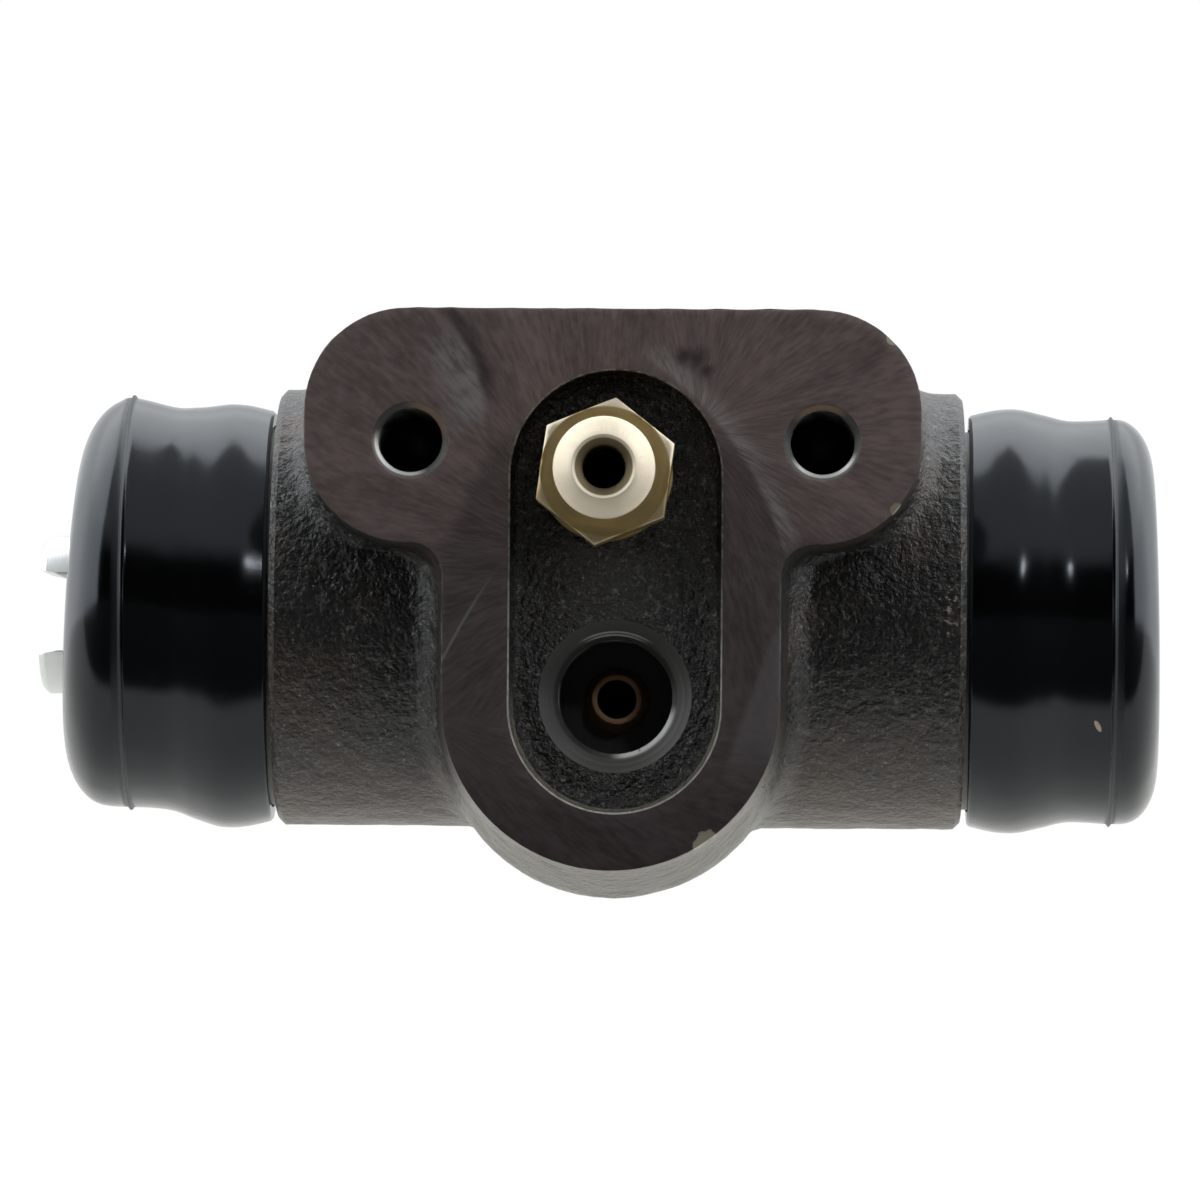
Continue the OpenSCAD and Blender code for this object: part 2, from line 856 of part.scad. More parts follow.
// The brass seat at the bottom of the inlet port that a pipe's flare closes on.
module inlet_seat() {
    base_r = seat_base_d / 2 - press_gap;
    rim_front = port_floor - seat_height;
    color([0.70, 0.42, 0.25])
        into_pad(0, -port_drop)
            rotate_extrude()
                polygon([
                    [seat_hole_d / 2, rim_front],
                    [seat_rim_d / 2, rim_front],
                    [base_r, port_floor],
                    [base_r, port_floor + seat_press],
                    [feed_d / 2, port_floor + seat_press],
                    [feed_d / 2, port_floor]
                ]);
}

cylinder_body();
left_piston();
right_piston();
left_cup();
right_cup();
left_cup_expander();
right_cup_expander();
return_spring();
left_boot();
right_boot();
bleeder_screw();
inlet_seat();
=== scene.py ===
"""Models and finishes a drum-brake wheel cylinder round its solids, and sets up a small studio."""

import json
import math
from itertools import pairwise
from typing import NamedTuple

import bmesh
import bpy
from bpy.props import FloatProperty, FloatVectorProperty, IntProperty, PointerProperty
from mathutils import Matrix, Vector, kdtree, noise


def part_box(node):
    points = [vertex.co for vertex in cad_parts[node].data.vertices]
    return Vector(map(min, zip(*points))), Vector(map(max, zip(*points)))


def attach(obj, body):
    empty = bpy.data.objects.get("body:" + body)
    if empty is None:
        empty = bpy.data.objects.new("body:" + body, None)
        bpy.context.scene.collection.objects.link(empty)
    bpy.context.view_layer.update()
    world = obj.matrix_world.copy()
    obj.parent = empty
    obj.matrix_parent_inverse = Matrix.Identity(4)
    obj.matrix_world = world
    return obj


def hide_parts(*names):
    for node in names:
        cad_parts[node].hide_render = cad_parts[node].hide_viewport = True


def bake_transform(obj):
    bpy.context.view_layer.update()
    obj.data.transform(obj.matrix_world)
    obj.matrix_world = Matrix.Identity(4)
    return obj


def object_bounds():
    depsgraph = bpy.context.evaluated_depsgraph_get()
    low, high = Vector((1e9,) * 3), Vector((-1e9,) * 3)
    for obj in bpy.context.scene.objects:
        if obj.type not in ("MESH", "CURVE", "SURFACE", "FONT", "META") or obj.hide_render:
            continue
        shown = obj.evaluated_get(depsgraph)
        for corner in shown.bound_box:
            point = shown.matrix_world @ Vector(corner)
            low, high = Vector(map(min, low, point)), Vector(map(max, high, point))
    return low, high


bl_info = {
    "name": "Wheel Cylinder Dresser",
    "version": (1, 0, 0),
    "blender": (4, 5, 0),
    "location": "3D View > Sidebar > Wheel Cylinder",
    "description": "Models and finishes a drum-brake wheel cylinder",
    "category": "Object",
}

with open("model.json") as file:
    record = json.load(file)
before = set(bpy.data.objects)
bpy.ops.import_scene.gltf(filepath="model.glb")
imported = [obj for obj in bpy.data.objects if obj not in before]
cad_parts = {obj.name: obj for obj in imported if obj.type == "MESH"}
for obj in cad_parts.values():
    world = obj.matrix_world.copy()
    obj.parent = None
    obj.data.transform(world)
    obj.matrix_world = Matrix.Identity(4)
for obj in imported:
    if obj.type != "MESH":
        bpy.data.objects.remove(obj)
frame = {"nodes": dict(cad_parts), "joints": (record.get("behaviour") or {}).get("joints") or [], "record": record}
CAD_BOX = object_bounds()

MM = 0.001
# Points closer than MERGE are one point, faces turned by less than FLAT_ANGLE are one face, a place
# within SLACK of a surface lies on it, and one deeper than a face by SKIM lies below it.
MERGE = 0.002 * MM
FLAT_ANGLE = math.radians(0.3)
SLACK = 0.05 * MM
SKIM = 0.005 * MM
# Inward corners turned by more than CORNER_ANGLE get a fillet.
CORNER_ANGLE = math.radians(15)
CORNER_STEP = 0.3 * MM
BURR_REACH = 0.3 * MM
EASED_ANGLE = math.radians(28)
# Faces along one turn of a thread or spring, one stretch of a boot's side and its fold
THREAD_STEPS, SPRING_STEPS, SIDE_STEPS, FOLD_STEPS = 8, 28, 8, 6
IMAGE_PX = 1200
SENSOR_MM = 36
NEAR_CLIP = 10 * MM
FLOOR_SIZE = 6
MOUNTS = {mount["name"]: mount for mount in frame["record"]["mounts"]}
JOINTS = {joint["name"]: joint for joint in frame["joints"]}
BORE = Vector(JOINTS["left_piston_turn"]["pos_m"])
PORT = Vector(MOUNTS["inlet_port"]["pos_m"])
PORT_R = MOUNTS["inlet_port"]["dims"]["r_mm"] * MM
BOLT_R = MOUNTS["mounting_bolts"]["dims"]["hole_r_mm"] * MM
BOLT_X = MOUNTS["mounting_bolts"]["dims"]["spacing_x_mm"] / 2 * MM
BLEED = Vector(MOUNTS["bleed_nipple"]["pos_m"])


def length(label, text, default):
    return FloatProperty(name=label, description=text, default=default, subtype="DISTANCE", unit="LENGTH")


def number(label, text, default):
    return FloatProperty(name=label, description=text, default=default)


def colour(label, text, default):
    return FloatVectorProperty(name=label, description=text, default=default, subtype="COLOR", size=3)


class HousingSizes(bpy.types.PropertyGroup):
    """Sizes and colours of the cast housing's surfaces."""

    barrel_end: length("Barrel end", "From the middle to a shoulder", 27.5 * MM)
    bore_radius: length("Bore radius", "Radius of the bore", 11.1 * MM)
    recess_depth: length("Recess depth", "Depth of the recess floor", 2.8 * MM)
    recess_radius: length("Recess radius", "Radius of the recess's round ends", 8.2 * MM)
    recess_top: length("Recess top", "Drop of the recess's upper arc centre", 2.7 * MM)
    recess_low: length("Recess low", "Drop of the recess's lower arc centre", 20.6 * MM)
    port_chamfer: length("Port chamfer", "Chamfer of the inlet port", 1.5 * MM)
    bolt_chamfer: length("Bolt chamfer", "Chamfer of the mounting holes", 0.45 * MM)
    bolt_thread: length("Bolt thread", "Depth at which the mounting threads end", 13.0 * MM)
    thread_pitch: length("Thread pitch", "Pitch of the tapped holes", 1.0 * MM)
    thread_height: length("Thread height", "Height of the thread's teeth", 0.5 * MM)
    rim: length("Rim", "Rounding of the machined pad's edges", 0.12 * MM)
    skin_edge: length("Skin edge", "Longest edge of the as-cast skin's faces", 1.0 * MM)
    pad_edge: length("Pad edge", "Longest edge of the machined pad's faces", 1.2 * MM)
    fillet_reach: length("Fillet reach", "Width of the casting fillets", 1.7 * MM)
    crisp_end: length("Crisp end", "Stretch at a barrel's end that keeps its edge", 1.5 * MM)
    lump_size: length("Lump size", "Size of the lumps in the cast skin", 1.8 * MM)
    lump_height: length("Lump height", "Height of those lumps", 0.07 * MM)
    iron: colour("Cast skin", "As-cast iron", (0.0120, 0.0114, 0.0112))
    # This colour is exposed iron in the nicks, and it is also used for the painted light low down, the painted
    # glints and sparkle, and the painted highlight on the recess's lower wall.
    bare_iron_and_highlight: colour("Raw iron", "Bare cast iron under the pad and in nicks", (0.184, 0.167, 0.130))
    # Brownish barer iron under the barrel, painted lighter there as light from below.
    brown_iron_and_light_below: colour("Rusty iron", "Bare cast iron under the barrel", (0.115, 0.077, 0.052))
    tinge: colour("Brown tinge", "Rust in the cast skin", (0.064, 0.037, 0.022))
    # The pad's three tones make it lighter on the ears and darker down the stem and at the bottom, partly painted
    # light and shade.
    pad: colour("Machined pad", "Milled iron on the ears", (0.172, 0.130, 0.124))
    pad_stem: colour("Pad stem", "Milled iron on the stem", (0.086, 0.067, 0.067))
    pad_low: colour("Pad bottom", "Milled iron at the bottom", (0.055, 0.041, 0.042))
    wiped: colour("Wiped marks", "Marks along the stem's right sweep", (0.36, 0.345, 0.34))
    # A lighter, greyer band across the left ear.
    ear_band: colour("Brushed marks", "Band across the left ear", (0.30, 0.295, 0.30))
    smudge: colour("Smudges", "Dark marks on the pad", (0.024, 0.020, 0.020))
    scratch: colour("Scratches", "Scratch and slanted strip on the stem", (0.165, 0.160, 0.165))
    turned: colour("Turned iron", "Bored and turned iron", (0.20, 0.195, 0.19))
    # Brown on the upper side of the mounting holes' rims, opposite their painted highlight.
    upper_rim_brown: colour("Rim rust", "Upper side of the mounting holes' rims", (0.20, 0.14, 0.10))
    # Painted highlight on the port's rim.
    painted_shine: colour("Rim shine", "Glint on the port's rim", (0.95, 0.95, 0.94))
    # Painted highlights on the thread crests over the port.
    crest_highlight: colour("Thread crests", "Bright arcs over the port", (0.60, 0.58, 0.52))


class BootSizes(bpy.types.PropertyGroup):
    """Sizes of both dust boots, as distances past the barrel's end and radii, and their colours."""

    start: length("Start", "Gap to the barrel's end", 0.6 * MM)
    wall: length("Wall", "Thickness of the rubber", 1.55 * MM)
    edge_round: length("Edge rounding", "Rounding of the open edge", 0.2 * MM)
    lead_in: length("Lead-in", "Narrowing from the bulge to the open edge", 0.5 * MM)
    bulge_at: length("Bulge", "Place at which the widest stretch ends", 4.6 * MM)
    bulge_radius: length("Bulge radius", "Radius of the widest ring", 17.15 * MM)
    waist_at: length("Waist", "Place of the waist", 8.8 * MM)
    waist_dip: length("Waist dip", "Narrowing at the waist", 0.9 * MM)
    brow_rise: length("Brow", "Widening from the waist to the ridge", 0.12 * MM)
    ridge_at: length("Ridge", "Place of the moulding ridge", 12.1 * MM)
    ridge_height: length("Ridge height", "Height of the moulding ridge", 0.25 * MM)
    dome_at: length("Dome", "Place at which the dome starts", 12.8 * MM)
    neck_radius: length("Neck radius", "Inside of the boot on the neck", 15.5 * MM)
    bead_radius: length("Bead radius", "Inside of the bead in the neck's groove", 14.1 * MM)
    bead_start: length("Bead start", "Start of that bead", 1.0 * MM)
    bead_end: length("Bead end", "End of that bead", 3.2 * MM)
    lip_radius: length("Lip radius", "Inside of the lip on the piston's nose", 5.6 * MM)
    lip_width: length("Lip width", "Width of the lip", 2.0 * MM)
    lip_top: length("Lip top", "Radius at which the fold meets the lip", 6.6 * MM)
    lean: length("Lean", "How far the left boot's ridge sits above its bead", 1.05 * MM)
    swell: number("Swell", "How much wider the left boot's ridge is", 0.015)
    yaw: length("Yaw", "How far the near sides of the boots sit back", 0.4 * MM)
    rubber: colour("Rubber", "Boot rubber", (0.0012, 0.0012, 0.0014))
    dirt: colour("Dirt", "Speck of dirt on the right boot", (0.55, 0.44, 0.34))
    segments: IntProperty(name="Segments", description="Faces round a boot", default=144)


class FittingSizes(bpy.types.PropertyGroup):
    """Sizes and colours of the bleeder, the seat, the pistons and the parts in the bore."""

    eased: length("Eased edges", "Rounding of turned edges", 0.1 * MM)
    hexagon_front: length("Hexagon front", "Front of the bleeder's hexagon", -2.6 * MM)
    # Past this radius the hexagon's chamfered corners are painted pale as a highlight.
    hexagon_corner: length("Hexagon corner", "Radius past which its chamfered corners are pale", 5.1 * MM)
    # The mouth is painted dark as painted shade, standing for the dark reflection in its countersink.
    mouth_radius: length("Mouth radius", "Radius of the nipple's dark mouth", 2.15 * MM)
    hole_radius: length("Hole radius", "Radius of the nipple's hole", 1.45 * MM)
    seat_radius: length("Seat radius", "Radius of the hole in the inlet seat", 1.5 * MM)
    # The slots' walls are painted dark as shade.
    slot_half: length("Slot half", "Half the width of a piston's slot", 3.12 * MM)
    slot_floor: length("Slot floor", "From the middle to where a slot shows", 36.0 * MM)
    wire: length("Wire", "Wire diameter of the return spring", 1.1 * MM)
    coil: length("Coil", "Outer diameter of the return spring", 11.4 * MM)
    turns: IntProperty(name="Turns", description="Turns of the return spring", default=7)
    gold: colour("Passivated gold", "Bleeder's hexagon and collar", (0.46, 0.34, 0.15))
    cream: colour("Pale brass", "Bleeder's nipple", (0.95, 0.84, 0.66))
    # Painted shade inside the bleeder's hole.
    nipple_hole_shade: colour("Nipple hole", "Inside of the bleeder's hole", (0.01, 0.008, 0.005))
    copper: colour("Copper", "Inlet seat", (1.0, 0.58, 0.32))
    # Painted shade inside the seat's hole.
    seat_hole_shade: colour("Seat hole", "Inside of the seat's hole", (0.02, 0.015, 0.01))
    aluminium: colour("Aluminium", "Pistons", (0.74, 0.755, 0.75))
    steel: colour("Steel", "Spring and expanders", (0.55, 0.55, 0.54))
    seal: colour("Seal rubber", "Cups", (0.02, 0.02, 0.02))


class StudioSizes(bpy.types.PropertyGroup):
    """The camera, measured on the photograph's frame, and the studio round the part."""

    focal_px: number("Focal length", "In pixels of the frame", 6858)
    origin_x: number("Origin x", "Pixel at which the origin shows", 616.3)
    origin_y: number("Origin y", "Pixel at which the origin shows", 441)
    vanish_x: number("Depth x", "Pixel to which the depth runs", 735)
    vanish_y: number("Depth y", "Pixel to which the depth runs", 900)
    roll: FloatProperty(name="Roll", description="Turn of the part in the frame", default=math.radians(0.45),
                        subtype="ANGLE", unit="ROTATION")
    distance: length("Distance", "From the camera to the mounting face", 0.530)
    floor_drop: length("Floor drop", "From the part's lowest point to the floor", 0.040)
    floor: colour("Floor", "Plain pale floor", (0.88, 0.86, 0.81))
    air: colour("Air", "Tint of the light from wall and room", (0.95, 0.98, 1.0))
    wall: number("Wall", "Brightness of the wall behind the part", 2.4)
    wall_tilt: number("Wall tilt", "Tilt of the wall's edge in degrees", 16.0)
    wall_wrap: number("Wall wrap", "How far the wall comes round the sides", 0.877)
    room: number("Room", "Brightness of the room on the camera's side", 0.012)
    ceiling: number("Ceiling", "Brightness of the ceiling", 0.62)
    lamp_side: number("Lamp side", "Degrees to the camera's right", 22.0)
    lamp_up: number("Lamp up", "Degrees above the camera", 27.0)
    lamp_far: length("Lamp distance", "From the part to the lamp", 0.7)
    lamp_size: length("Lamp size", "Diameter of the lamp", 0.075)
    lamp_power: number("Lamp power", "Watts of the lamp", 0.2)


class Field:
    """A socket in a finish's node tree that takes part in Python sums."""

    def __init__(self, finish, socket):
        self.finish = finish
        self.socket = socket

    def maths(self, operation, *values):
        return self.finish.node("ShaderNodeMath", {"operation": operation}, dict(enumerate(values)))

    def __add__(self, other):
        return self.maths("ADD", self, other)

    __radd__ = __add__

    def __sub__(self, other):
        return self.maths("SUBTRACT", self, other)

    def __rsub__(self, other):
        return self.maths("SUBTRACT", other, self)

    def __mul__(self, other):
        return self.maths("MULTIPLY", self, other)

    __rmul__ = __mul__

    def __truediv__(self, other):
        return self.maths("DIVIDE", self, other)

    def __pow__(self, other):
        return self.maths("POWER", self, other)

    def __abs__(self):
        return self.maths("ABSOLUTE", self)

    def least(self, other):
        return self.maths("MINIMUM", self, other)

    def most(self, other):
        return self.maths("MAXIMUM", self, other)

    def rise(self, low, high):
        """Runs smoothly from 0 at low to 1 at high."""
        settings = {"interpolation_type": "SMOOTHSTEP"}
        ends = {"From Min": low, "From Max": high, "To Min": 0.0, "To Max": 1.0}
        return self.finish.node("ShaderNodeMapRange", settings, {"Value": self, **ends})


class Nodes:
    """A node tree whose nodes are made in one way."""

    def __init__(self, tree):
        self.tree = tree

    def node(self, kind, settings=None, sockets=None, output=0):
        made = self.tree.nodes.new(kind)
        for key, value in (settings or {}).items():
            setattr(made, key, value)
        for key, value in (sockets or {}).items():
            self.feed(made.inputs[key], value)
        return Field(self, made.outputs[output])

    def feed(self, socket, value):
        if isinstance(value, Field):
            self.tree.links.new(value.socket, socket)
        else:
            socket.default_value = value

    def mix(self, low, high, factor):
        """A colour between two colours."""
        low, high = (c if isinstance(c, Field) else (*c, 1.0) for c in (low, high))
        settings = {"data_type": "RGBA", "clamp_factor": True}
        return self.node("ShaderNodeMix", settings, {0: factor, 6: low, 7: high}, output=2)

    def axes(self, vector):
        return [self.node("ShaderNodeSeparateXYZ", sockets={0: vector}, output=i) for i in range(3)]


class Finish(Nodes):
    """A material under construction, whose places are Object coordinates in millimetres."""

    def __init__(self, name):
        self.material = bpy.data.materials.new(name)
        self.material.use_nodes = True
        super().__init__(self.material.node_tree)
        self.shader = self.tree.nodes["Principled BSDF"]
        spot = self.node("ShaderNodeTexCoord", output="Object")
        self.spot = self.node("ShaderNodeVectorMath", {"operation": "SCALE"}, {0: spot, "Scale": 1 / MM})
        self.x, self.y, self.z = self.axes(self.spot)

    def away(self, axis_x, axis_z):
        """Distance of a place from an axis that runs along Y."""
        across, up = self.x - axis_x, self.z - axis_z
        return (across * across + up * up) ** 0.5

    def vector(self, x, y, z):
        return self.node("ShaderNodeCombineXYZ", sockets={0: x, 1: y, 2: z})

    def noise(self, scale, detail=2.0, rough=0.5, spot=None):
        """Noise of a scale given in waves for each millimetre."""
        sockets = {"Vector": spot or self.spot, "Scale": scale, "Detail": detail, "Roughness": rough}
        return self.node("ShaderNodeTexNoise", sockets=sockets)

    def bump(self, height, distance):
        return self.node("ShaderNodeBump", sockets={"Height": height, "Distance": distance, "Strength": 1.0})

    def set(self, **sockets):
        """Feeds the shader's sockets, each named with _ for a space."""
        for label, value in sockets.items():
            value = (*value, 1.0) if isinstance(value, tuple) else value
            self.feed(self.shader.inputs[label.replace("_", " ")], value)
        return self.material


def shade(tint, amount):
    """A colour made lighter or darker."""
    return tuple(part * amount for part in tint)


def activate(piece):
    bpy.ops.object.select_all(action="DESELECT")
    piece.select_set(True)
    bpy.context.view_layer.objects.active = piece


def smooth(piece, degrees):
    activate(piece)
    bpy.ops.object.shade_smooth_by_angle(angle=math.radians(degrees))


def copy_of(node, name):
    """A piece that starts as a merged copy of a solid's mesh."""
    piece = bpy.data.objects.new(name, frame["nodes"][node].data.copy())
    bpy.context.scene.collection.objects.link(piece)
    piece.data.materials.clear()
    activate(piece)
    bpy.ops.mesh.customdata_custom_splitnormals_clear()
    bpy.ops.object.mode_set(mode="EDIT")
    bpy.ops.mesh.select_all(action="SELECT")
    bpy.ops.mesh.remove_doubles(threshold=MERGE)
    bpy.ops.mesh.dissolve_limited(angle_limit=FLAT_ANGLE)
    bpy.ops.object.mode_set(mode="OBJECT")
    return piece


def smooth_step(t):
    """Runs smoothly from 0 at 0 to 1 at 1."""
    t = min(max(t, 0), 1)
    return t * t * (3 - 2 * t)


def from_axis(point, axis_x, axis_z):
    """Distance of a point from an axis that runs along Y."""
    return math.hypot(point.x - axis_x, point.z - axis_z)


def from_bore(point):
    """Distance of a point from the bore's axis."""
    return math.hypot(point.y - BORE.y, point.z - BORE.z)


# The fourth finish is the recess's rim: a burr, partly painted as a highlight.
CAST, MILLED, TURNED, WORN_AND_HIGHLIGHT = range(4)


def surface_of(face, sizes):
    """Which of the housing's finishes a face has, by its place."""
    spot = face.calc_center_median()
    if abs(spot.x) > sizes.barrel_end - SLACK or from_bore(spot) < sizes.bore_radius + SLACK:
        return TURNED
    for side in (-BOLT_X, BOLT_X):
        if from_axis(spot, side, 0) < BOLT_R + sizes.bolt_chamfer + SLACK and spot.y > SKIM:
            return TURNED
    if sizes.recess_depth + SKIM < spot.y < BORE.y:
        if from_axis(spot, PORT.x, PORT.z) < PORT_R + sizes.port_chamfer + SLACK:
            return TURNED
        if from_axis(spot, BLEED.x, BLEED.z) < PORT_R - SLACK:
            return TURNED
    middle = min(max(spot.z, -sizes.recess_low), -sizes.recess_top)
    if spot.y < sizes.rim and -0.98 < face.normal.y < -0.1:
        if from_axis(spot, 0, middle) < sizes.recess_radius + BURR_REACH:
            return WORN_AND_HIGHLIGHT
    if spot.y < SLACK and face.normal.y < -0.5:
        return MILLED
    return CAST


def cut_thread(mesh, axis, radius, start, end, sizes):
    """Slices a plain round wall along Y into rings and moves them into a screw thread."""
    def on_wall(point):
        return abs(from_axis(point, axis.x, axis.z) - radius) < SLACK

    walls = [f for f in mesh.faces if all(on_wall(v.co) for v in f.verts) and f.calc_area() > 0
             and start - MM < f.calc_center_median().y < end + MM]
    geometry = set(walls)
    for face in walls:
        geometry.update(face.edges, face.verts)
    geometry = list(geometry)
    count = round((end - start) / sizes.thread_pitch * THREAD_STEPS)
    for i in range(count + 1):
        level = (0, start + (end - start) * i / count, 0)
        cut = bmesh.ops.bisect_plane(mesh, geom=geometry, dist=MERGE, plane_co=level, plane_no=(0, 1, 0))
        geometry = cut["geom"]
    for vertex in {g for g in geometry if isinstance(g, bmesh.types.BMVert)}:
        arm = vertex.co - Vector((axis.x, vertex.co.y, axis.z))
        fade = min(vertex.co.y - start, end - vertex.co.y) / sizes.thread_pitch
        phase = (vertex.co.y / sizes.thread_pitch + math.atan2(arm.z, arm.x) / math.tau) % 1
        tooth = min(max(2 - 5 * abs(phase - 0.5), 0), 1)
        vertex.co += arm.normalized() * sizes.thread_height * tooth * min(max(fade, 0), 1)


def refine(mesh, kind, longest):
    """Splits the longest edges of one finish's faces until none is longer than a length."""
    while True:
        faces = [f for f in mesh.faces if f.material_index == kind]
        bmesh.ops.triangulate(mesh, faces=[f for f in faces if len(f.verts) > 3])
        faces = [f for f in mesh.faces if f.material_index == kind]
        edges = {max(f.edges, key=bmesh.types.BMEdge.calc_length) for f in faces}
        edges = [e for e in edges if e.calc_length() > longest]
        if not edges:
            return
        bmesh.ops.subdivide_edges(mesh, edges=edges, cuts=1, use_single_edge=True)


def near(points, reach):
    """A test of whether a place lies within reach of any of some points."""
    tree = kdtree.KDTree(len(points))
    for i, point in enumerate(points):
        tree.insert(point, i)
    tree.balance()
    return lambda place: tree.find(place)[2] < reach


def inner_corners(mesh):
    """Points along the inward corners of the as-cast skin."""
    points = []
    for edge in mesh.edges:
        if len(edge.link_faces) == 2 and all(f.material_index == CAST for f in edge.link_faces):
            if edge.calc_face_angle_signed() < -CORNER_ANGLE:
                a, b = (v.co for v in edge.verts)
                count = max(1, round((b - a).length / CORNER_STEP))
                points += [a.lerp(b, i / count) for i in range(count + 1)]
    return points


def cast_vertices(mesh):
    return [v for v in mesh.verts if all(f.material_index == CAST for f in v.link_faces)]


def relax(mesh, vertices, rounds):
    """Evens out some vertices between their neighbours."""
    axes = {"use_axis_x": True, "use_axis_y": True, "use_axis_z": True}
    for _ in range(rounds):
        bmesh.ops.smooth_vert(mesh, verts=vertices, factor=0.5, **axes)


def rough_cast(mesh, sizes):
    """Grows the lumpy skin of a sand casting, with fillets in its inward corners."""
    corners = inner_corners(mesh)
    refine(mesh, CAST, sizes.skin_edge)
    in_recess = [p for p in corners if p.y < sizes.recess_depth + MM]
    on_boss = [p for p in corners if p.y > sizes.recess_depth + MM]
    skin = cast_vertices(mesh)
    relax(mesh, [v for v in skin if abs(v.co.x) < sizes.barrel_end - sizes.crisp_end], 2)
    for points, reach, rounds in ((on_boss, sizes.fillet_reach, 20), (in_recess, sizes.fillet_reach / 4, 4)):
        close = near(points, reach)
        relax(mesh, [v for v in skin if close(v.co)], rounds)
    mesh.normal_update()
    shifts = []
    for vertex in skin:
        place = vertex.co / sizes.lump_size
        lump = noise.noise(place) + noise.noise(place * 2.3) / 2
        shifts.append(vertex.normal * lump * sizes.lump_height)
    for vertex, shift in zip(skin, shifts):
        vertex.co += shift


# Marks on the housing's front, each with the x and z of its middle and its reach in millimetres
NICKS = ((7.3, -31.1, 1.1), (21.4, 8.1, 0.6), (21.7, -5.2, 0.55))
SMUDGES = ((5.2, 6.6, 1.3), (6.2, 6.5, 1.4), (6.9, 5.5, 1.0))
# The third list holds patches of painted sparkle on the barrel.
SPARKLE_PATCHES = ((-26.7, -4.4, 1.6), (-22.8, -11.0, 1.3), (25.9, -11.8, 1.3), (26.1, -14.2, 1.0))
NICK_SLOPE = 0.35
# Cutter marks on the pad, each with the x and z of its middle in millimetres, and then the spread of
# a fan's rays or the radius of an arc
LEFT_FAN, RIGHT_FAN, LOW_FAN = (-0.7, -9.4, 9.0), (6.1, 0.9, 8.0), (-15.0, -21.5, 9.0)
STEM_SWEEP, COUNTER_SWEEP = (-12.5, -15.6, 26.6), (12.5, -15.6, 26.6)
EAR_SWEEP = (-22.4, 1.5, 12.7)
SCRATCH = (38.9, -42.9, 58.3)


def pad_rims(mesh):
    """The edges in which the milled pad's face ends."""
    def on_face(face):
        return face.normal.y < -0.99 and abs(face.calc_center_median().y) < MERGE

    return [e for e in mesh.edges if all(abs(v.co.y) < MERGE for v in e.verts)
            and sum(map(on_face, e.link_faces)) == 1]


def nick_rim(mesh, spots):
    """Breaks small pieces out of the milled pad's rim."""
    for x, z, reach in spots:
        for vertex in mesh.verts:
            depth = reach - from_axis(vertex.co, x, z)
            if depth > 0 and vertex.co.y < reach / 2:
                vertex.co.y += depth * NICK_SLOPE


class WHEEL_OT_housing(bpy.types.Operator):
    """Cast housing with its milled pad, tapped holes and lumpy skin"""

    bl_idname = "wheel.housing"
    bl_label = "Cast housing"

    def execute(self, context):
        sizes = context.scene.wheel_housing
        piece = copy_of("cylinder_body", "cast_housing")
        mesh = bmesh.new()
        mesh.from_mesh(piece.data)
        mesh.normal_update()
        bmesh.ops.bevel(mesh, geom=pad_rims(mesh), offset=sizes.rim, segments=2, profile=0.5, affect="EDGES")
        mesh.normal_update()
        for face in mesh.faces:
            face.material_index = surface_of(face, sizes)
        for side in (-BOLT_X, BOLT_X):
            cut_thread(mesh, Vector((side, 0, 0)), BOLT_R, sizes.bolt_chamfer, sizes.bolt_thread, sizes)
        chamfer_end = sizes.recess_depth + sizes.port_chamfer
        wall = MOUNTS["inlet_port"]["dims"]["length_mm"] * MM
        cut_thread(mesh, PORT, PORT_R, chamfer_end, chamfer_end + wall, sizes)
        refine(mesh, MILLED, sizes.pad_edge)
        rough_cast(mesh, sizes)
        nick_rim(mesh, [(x * MM, z * MM, reach * MM) for x, z, reach in NICKS])
        mesh.to_mesh(piece.data)
        mesh.free()
        for finish in (cast_iron(sizes), milled_pad(sizes), turned_iron(sizes), worn_edge_and_highlight(sizes)):
            piece.data.materials.append(finish)
        smooth(piece, degrees=35)
        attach(piece, "cylinder_body")
        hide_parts("cylinder_body")
        return {"FINISHED"}


def ragged_spots(finish, spots, core, tear):
    """How much a place lies in one of some spots, each given by x, z and reach, with torn soft edges."""
    ragged = (finish.noise(1.1, 3.0, 0.7) - 0.5) * tear
    found = 0.0
    for x, z, reach in spots:
        away = finish.away(x, z) + ragged * reach
        found = (1.0 - away.rise(reach * core, reach)).most(found)
    return found


